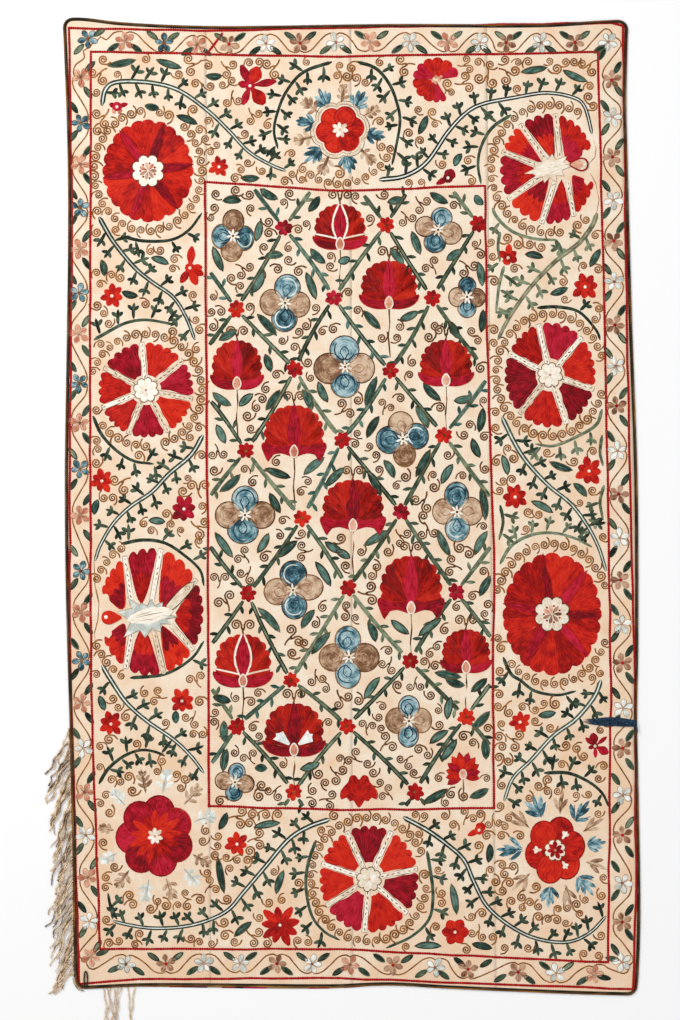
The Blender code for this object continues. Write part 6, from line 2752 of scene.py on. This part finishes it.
@dataclass
class EdgeBraid:
    """The narrow braid round the cloth: a flat core and two rows of slanting stitches."""

    cloth: Cloth
    shop: Workshop
    loom: Loom
    core_height: float = 0.0016
    pad: tuple[float, float, float] = (0.0068, 0.0036, 0.0006)
    spacing: float = 0.0052
    slant: float = 32.0

    def core(self) -> Mesh:
        """The flat core, a closed band."""
        path = rim_path(BRAID_WIDTH / 2, 0.008)
        way = tangents(np.vstack((path[-1], path, path[0])))[1:-1]
        side = np.column_stack((way[:, 1], -way[:, 0])) * (BRAID_WIDTH / 2 - 0.0002)
        ring = (
            (1.0, 0.0003), (0.92, 0.0), (-0.92, 0.0), (-1.0, 0.0003), (-0.9, 0.7), (-0.4, 1.0), (0.4, 1.0),
            (0.9, 0.7)
        )
        n = len(path)
        base = PANEL_UNDERSIDE + 0.00004
        points = [
            np.column_stack((path + side * c, np.full(n, base + max(h, 0.0) * self.core_height)))
            for c, h in ring
        ]
        i = np.arange(n)
        k = (i + 1) % n
        faces = []
        for c in range(len(ring)):
            d = (c + 1) % len(ring)
            faces.append(np.column_stack((d * n + i, d * n + k, c * n + k, c * n + i)))
        mesh = bpy.data.meshes.new("braid_core")
        mesh.from_pydata(np.vstack(points).tolist(), [], np.vstack(faces)[:, ::-1].tolist())
        return mesh

    def build(self) -> Object:
        """Makes the whole braid, one piece for the four sides."""
        dark = YarnFinish("braid_dark", (16, 18, 12), (44, 38, 24), (84, 70, 44)).material(self.shop)
        amber = YarnFinish(
            "braid_amber", (34, 28, 16), (116, 72, 30), (176, 120, 58), 9.0
        ).material(self.shop)
        core = self.core()
        core.materials.append(dark)
        made = [bpy.data.objects.new("core", core)]
        pad = stitch_pad("braid_pad", *self.pad, 0.0, 6)
        for inset, turn, silk in (
            (BRAID_WIDTH * 0.26, self.slant, amber), (BRAID_WIDTH * 0.74, -self.slant, dark)
        ):
            path = rim_path(inset)
            height = PANEL_UNDERSIDE + self.core_height + 0.00005
            path = np.column_stack((path, np.full(len(path), height)))
            settings = {"Stitch": pad, "Spacing": self.spacing, "Slant": math.radians(turn), "Silk": silk}
            made.append(bpy.data.objects.new("row", self.loom.run(
                self.loom.stitches, line_mesh("row", [path], True), settings
            )))
        return joined("edge_braid", made, self.cloth, [f"braid_{side}" for side in SIDES])


def joined(name: str, parts: Sequence[Object], cloth: Cloth, replaced: Sequence[str]) -> Object:
    """Joins plain parts in one piece, moves it from the chart's middle to the frame, and shows it."""
    for part in parts:
        bpy.context.scene.collection.objects.link(part)
    with bpy.context.temp_override(active_object=parts[0], selected_editable_objects=list(parts)):
        bpy.ops.object.join()
    obj = parts[0]
    obj.name = obj.data.name = name
    points = np.empty(len(obj.data.vertices) * 3)
    obj.data.vertices.foreach_get("co", points)
    points = points.reshape(-1, 3) + (*cloth.shift, 0.0)
    obj.data.vertices.foreach_set("co", points.ravel())
    obj.data.shade_smooth()
    obj.data.update()
    return show(obj, replaced)


@dataclass
class Fringes:
    """The cotton fringe, frayed by wear: two-ply yarns that hang on the left side and the lower edge, with
    darker yarns among them as painted shadow.
    """

    cloth: Cloth
    shop: Workshop
    loom: Loom
    pitch: float = 0.0080
    thickness: float = 0.0022
    top: float = -0.550
    bottom: float = -1.168
    reach: float = 0.057
    drop: float = 0.084
    lowest: float = -1.188
    sway: float = 0.012
    sway_period: float = 0.300

    def profile(self) -> Mesh:
        """The outline of two plies laid side by side."""
        turn = np.arange(6) / 6 * 2 * np.pi
        radius = 0.72 + 0.28 * np.abs(np.cos(turn))
        points = np.column_stack((radius * np.cos(turn), radius * np.sin(turn) * 0.8, np.zeros(6)))
        return line_mesh("yarn_profile", [points], closed=True)

    def strand(self, root: Points, reach: float, drop: float, rng: random.Random, steps: int = 11) -> Points:
        """One yarn's line, from its root.

        Args:
            root: where it leaves the heading.
            reach: how far across its end lies.
            drop: how far down its end lies.
            rng: the draws for its waves.
            steps: its points.

        Returns:
            Rows of x, y and z.
        """
        share = np.linspace(0, 1, steps)
        bow, sag = rng.uniform(0.75, 1.05), rng.uniform(1.0, 1.35)
        wave = rng.uniform(0.0030, 0.0085) * share
        phase, waves = rng.uniform(0, 6.28), rng.uniform(1.2, 2.8)
        x = root[0] + reach * share**bow + wave * np.sin(phase + waves * 2 * np.pi * share)
        y = root[1] + drop * share**sag + wave * 0.6 * np.cos(phase + waves * 2 * np.pi * share)
        rest = self.thickness + 0.0001
        z = rest + rng.uniform(0.0, 0.0030) * np.sin(np.pi * np.clip(share * rng.uniform(0.8, 1.2), 0, 1))
        z[0] = max(z[0], 0.0022)
        return np.column_stack((x, y, z))

    def side_strands(self, rng: random.Random) -> tuple[list[Points], list[float]]:
        """The yarns of the left side."""
        paths, sizes = [], []
        count = int((self.top - self.bottom) / self.pitch)
        for number in range(count):
            y = self.top - number * self.pitch
            if number % 3 and y > self.top - 0.02:
                continue
            phase = math.sin(2 * math.pi * number * self.pitch / self.sway_period)
            grown = min(1.0, 0.55 + number * self.pitch / 0.006 / 14)
            reach = -(self.reach + 0.4 * self.sway * phase) * grown * rng.uniform(0.55, 1.05)
            drop = max(
                -(self.drop - self.sway * phase) * rng.uniform(0.9, 1.5),
                self.lowest - y - rng.uniform(0.0, 0.02)
            )
            root = np.array([float(through(LEFT_EDGE, y)) - 0.0012, y])
            paths.append(self.strand(root, reach, drop, rng))
            sizes.append(rng.uniform(0.75, 1.1))
        return paths, sizes

    def corner_strands(self) -> tuple[list[Points], list[float]]:
        """The last yarns, which lie round the lower left corner."""
        paths, sizes = [], []
        radius = CORNER_RADIUS + BRAID_WIDTH + GAP
        middle_x = float(through(LEFT_EDGE, -HALF_LENGTH)) + radius
        middle_y = float(through(BOTTOM_EDGE, middle_x)) + radius
        for number in range(3):
            turn = np.radians(np.linspace(176, 248 + 8 * number, 14))
            away = radius + 0.0014 + 0.0016 * number + 0.0006 * np.sin(np.linspace(0, 9, 14) + number)
            z = np.full(14, self.thickness + 0.0002)
            paths.append(np.column_stack((middle_x + away * np.cos(turn), middle_y + away * np.sin(turn), z)))
            sizes.append(0.8)
        return paths, sizes

    def heading(self, rng: random.Random) -> tuple[list[Points], list[float]]:
        """Yarns that run along the left edge and hold the fringe."""
        y = np.linspace(self.top + 0.004, self.bottom, 90)
        paths, sizes = [], []
        for away, height in ((0.0012, 0.0023), (0.0028, 0.0022)):
            x = through(LEFT_EDGE, y) - away + 0.0003 * np.sin(np.linspace(0, 70, 90) + rng.uniform(0, 6))
            paths.append(np.column_stack((x, y, np.full(90, height))))
            sizes.append(1.0)
        return paths, sizes

    def hem_strands(self, rng: random.Random) -> tuple[list[Points], list[float]]:
        """The few yarns left on the lower edge, which cross each other."""
        paths, sizes = [], []
        for u, lean, length in (
            (104, 4, 31), (107, 9, 29), (111, -5, 30), (114, 3, 33), (118, -4, 31), (122, -10, 28),
            (128, 3, 30), (135, -5, 30)
        ):
            x = (u - CHART_MIDDLE[0]) * UNIT
            root = np.array([x, float(through(BOTTOM_EDGE, x)) - 0.0002])
            paths.append(self.strand(root, lean * UNIT, -length * UNIT * 1.32, rng))
            sizes.append(0.9)
        return paths, sizes

    def build(self) -> list[Object]:
        """Spins both fringes, with darker yarns that stand for the shade between the pale ones, which is
        painted shadow.
        """
        yarn = YarnFinish(
            "fringe_cotton", (184, 150, 114), (230, 204, 172), (250, 234, 210), 60.0
        ).material(self.shop)
        # Painted shadow: a darker brown yarn that stands for the shade between the pale yarns.
        shadow_yarn = YarnFinish(
            "fringe_soiled", (70, 48, 30), (150, 118, 86), (206, 178, 146), 60.0
        ).material(self.shop)
        rng = random.Random(SEED + 3)
        pieces = []
        side = [self.side_strands(rng), self.corner_strands(), self.heading(rng)]
        for name, groups, node in (
            ("side_fringe", side, "fringe_left"), ("hem_fringe", [self.hem_strands(rng)], "fringe_bottom")
        ):
            paths = [path for group in groups for path in group[0]]
            sizes = [size for group in groups for size in group[1]]
            lots = {yarn: [], shadow_yarn: []}
            for path, size in zip(paths, sizes):
                # About three in four yarns near the top, and about one in three elsewhere, take the darker
                # painted-shadow yarn.
                in_shadow = rng.random() < (0.75 if path[0, 1] > self.top - 0.05 else 0.36)
                lots[shadow_yarn if in_shadow else yarn].append((path, size))
            made = []
            for silk, lot in lots.items():
                if not lot:
                    continue
                lines = line_mesh(name, [path for path, _ in lot], size=[size for _, size in lot])
                settings = {
                    "Profile": self.profile(), "Thickness": self.thickness, "Step": 0.0045, "Silk": silk
                }
                made.append(bpy.data.objects.new(name, self.loom.run(self.loom.yarns, lines, settings)))
            pieces.append(joined(name, made, self.cloth, [node]))
        return pieces


@dataclass
class LooseYarns:
    """The loop of dark yarn at the lower left corner, and the tuft of blue threads on the right edge."""

    cloth: Cloth
    shop: Workshop
    loom: Loom
    loop_middle: tuple[float, float] = (-0.635, -1.172)
    loop_size: tuple[float, float] = (0.040, 0.0085)
    tuft_y: float = -0.530
    tuft_length: float = 0.138
    tuft_half: float = 0.0105
    threads: int = 74

    def loop(self) -> Object:
        """Spins the corner loop, which lies on the braid."""
        material = YarnFinish("loop_yarn", (14, 16, 8), (42, 40, 22), (86, 78, 50)).material(self.shop)
        turn = np.linspace(0, 2 * np.pi, 25)[:-1]
        x = self.loop_middle[0] + self.loop_size[1] / 2 * np.cos(turn)
        y = self.loop_middle[1] + self.loop_size[0] / 2 * np.sin(turn)
        base = PANEL_UNDERSIDE + BRAID_THICKNESS + GAP
        path = np.column_stack((x, y, np.full(24, base + 0.0019)))
        lines = line_mesh("corner_yarn", [path], closed=True, size=[1.0])
        settings = {
            "Profile": self.ring(6), "Thickness": 0.0018, "Step": 0.003, "Twist": 500.0, "Silk": material
        }
        made = [bpy.data.objects.new("corner_yarn", self.loom.run(self.loom.yarns, lines, settings))]
        return joined("corner_yarn", made, self.cloth, ["corner_loop"])

    def ring(self, points: int) -> Mesh:
        """A round outline for plain threads."""
        turn = np.arange(points) / points * 2 * np.pi
        return line_mesh(
            "thread_profile", [np.column_stack((np.cos(turn), np.sin(turn), np.zeros(points)))], closed=True
        )

    def tuft(self) -> Object:
        """Lays the blue threads from the right edge inwards."""
        material = YarnFinish(
            "tuft_silk", (6, 20, 34), (18, 48, 72), (56, 98, 124), 200.0
        ).material(self.shop)
        rng = random.Random(SEED + 4)
        edge = float(through(RIGHT_EDGE, self.tuft_y))
        paths = []
        for number in range(self.threads):
            lane = (number + 0.5) / self.threads * 2 - 1
            length = self.tuft_length * rng.uniform(0.72, 1.0) * (1 - 0.12 * abs(lane))
            share = np.linspace(0, 1, 12)
            swell = 0.30 + 0.70 * np.sin(np.pi * np.clip(share * 0.8 + 0.12, 0, 1)) ** 0.7
            drift = rng.uniform(-0.0015, 0.0015)
            y = self.tuft_y + 0.002 + lane * self.tuft_half * swell + drift * np.sin(
                share * rng.uniform(4, 9) + number
            )
            x = edge - 0.002 - share * length
            y = y - 0.006 * (1 - share) ** 2
            stack = (1 - lane**2) * rng.uniform(0.0, 0.0026)
            z = np.maximum(
                PANEL_UNDERSIDE + BRAID_THICKNESS + GAP + 0.0007, self.cloth.face(x, y) + 0.0019
            ) + stack
            paths.append(np.column_stack((x, y, z)))
        for number in range(9):
            share = np.linspace(0, 1, 7)
            x = edge - 0.004 + 0.0045 * share + rng.uniform(-0.001, 0.001)
            y = self.tuft_y - 0.002 - 0.026 * share * rng.uniform(0.7, 1.0)
            paths.append(
                np.column_stack((x, y, np.full(
                    7, PANEL_UNDERSIDE + BRAID_THICKNESS + GAP + 0.0009 + 0.0003 * number
                )))
            )
        lines = line_mesh("blue_tuft", paths, size=[rng.uniform(0.7, 1.1) for _ in paths])
        settings = {
            "Profile": self.ring(4), "Thickness": 0.0006, "Step": 0.009, "Twist": 0.0, "Silk": material
        }
        made = [bpy.data.objects.new("blue_tuft", self.loom.run(self.loom.yarns, lines, settings))]
        return joined("blue_tuft", made, self.cloth, ["thread_tuft"])

    def build(self) -> list[Object]:
        """Makes both."""
        return [self.loop(), self.tuft()]


class Studio:
    """A pale floor, soft light from the upper left, and a camera straight above the cloth."""

    camera_height = 9.0
    film = 36.0

    def __init__(self, cloth: Cloth) -> None:
        """Remembers where the chart's middle lies in the frame."""
        self.middle = cloth.shift

    def light(self, name: str, at: tuple[float, float, float], size: float, power: float) -> None:
        """Hangs a soft square light that looks at the cloth."""
        data = bpy.data.lights.new(name, "AREA")
        data.shape = "SQUARE"
        data.size = size
        data.energy = power
        lamp = bpy.data.objects.new(name, data)
        lamp.location = at
        lamp.rotation_euler = (-Vector(at)).to_track_quat("-Z", "Y").to_euler()
        bpy.context.scene.collection.objects.link(lamp)

    def build(self) -> None:
        """Sets the floor, the lights and the camera."""
        sketch_material = bpy.data.materials.new("studio_floor")
        sketch_material.use_nodes = True
        shader = sketch_material.node_tree.nodes["Principled BSDF"]
        shader.inputs["Base Color"].default_value = (0.93, 0.93, 0.93, 1.0)
        shader.inputs["Roughness"].default_value = 0.9
        mesh = bpy.data.meshes.new("floor")
        half = 12.0
        mesh.from_pydata(
            [(-half, -half, 0), (half, -half, 0), (half, half, 0), (-half, half, 0)], [], [(0, 1, 2, 3)]
        )
        mesh.materials.append(sketch_material)
        floor = bpy.data.objects.new("floor", mesh)
        bpy.context.scene.collection.objects.link(floor)
        world = bpy.data.worlds.new("studio")
        world.use_nodes = True
        world.node_tree.nodes["Background"].inputs["Color"].default_value = (1.0, 1.0, 1.0, 1.0)
        world.node_tree.nodes["Background"].inputs["Strength"].default_value = 0.62
        bpy.context.scene.world = world
        self.light("key", (-3.6, 3.2, 3.6), 1.8, 210.0)
        self.light("fill", (2.5, -2.0, 5.0), 4.0, 60.0)
        data = bpy.data.cameras.new("camera")
        data.sensor_fit = "VERTICAL"
        data.sensor_height = self.film
        data.lens = self.film * self.camera_height / (2 * CHART_MIDDLE[1] * UNIT)
        camera = bpy.data.objects.new("camera", data)
        camera.location = (*self.middle, self.camera_height)
        bpy.context.scene.collection.objects.link(camera)
        bpy.context.scene.camera = camera
        bpy.context.scene.view_settings.view_transform = "Standard"


def main() -> None:
    """Builds every piece of the suzani and sets the studio."""
    logging.basicConfig(level=logging.INFO, format="%(name)s: %(message)s")
    cloth = Cloth()
    shop = Workshop()
    for finish in SILKS:
        finish.material(shop)
    Studio(cloth).build()
    LiningCloth(cloth, shop).build()
    GroundCloth(cloth, shop).build()
    taken = Taken()
    loom = Loom()
    EdgeBraid(cloth, shop, loom).build()
    Fringes(cloth, shop, loom).build()
    LooseYarns(cloth, shop, loom).build()
    roundels = Roundels(cloth, shop, taken)
    roundels.build()
    BorderFlowers(cloth, shop, taken).build()
    Branches(cloth, shop, taken).build(roundels.rings())
    field_work = Field(cloth, shop, taken)
    field_work.build()
    GuardBorder(cloth, shop, taken).build()
    StitchedLines(cloth, shop, loom).build()
    Curls(cloth, shop, loom, taken).build(roundels.rings(), field_work.crowns())
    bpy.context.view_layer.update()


if __name__ == "__main__":
    main()
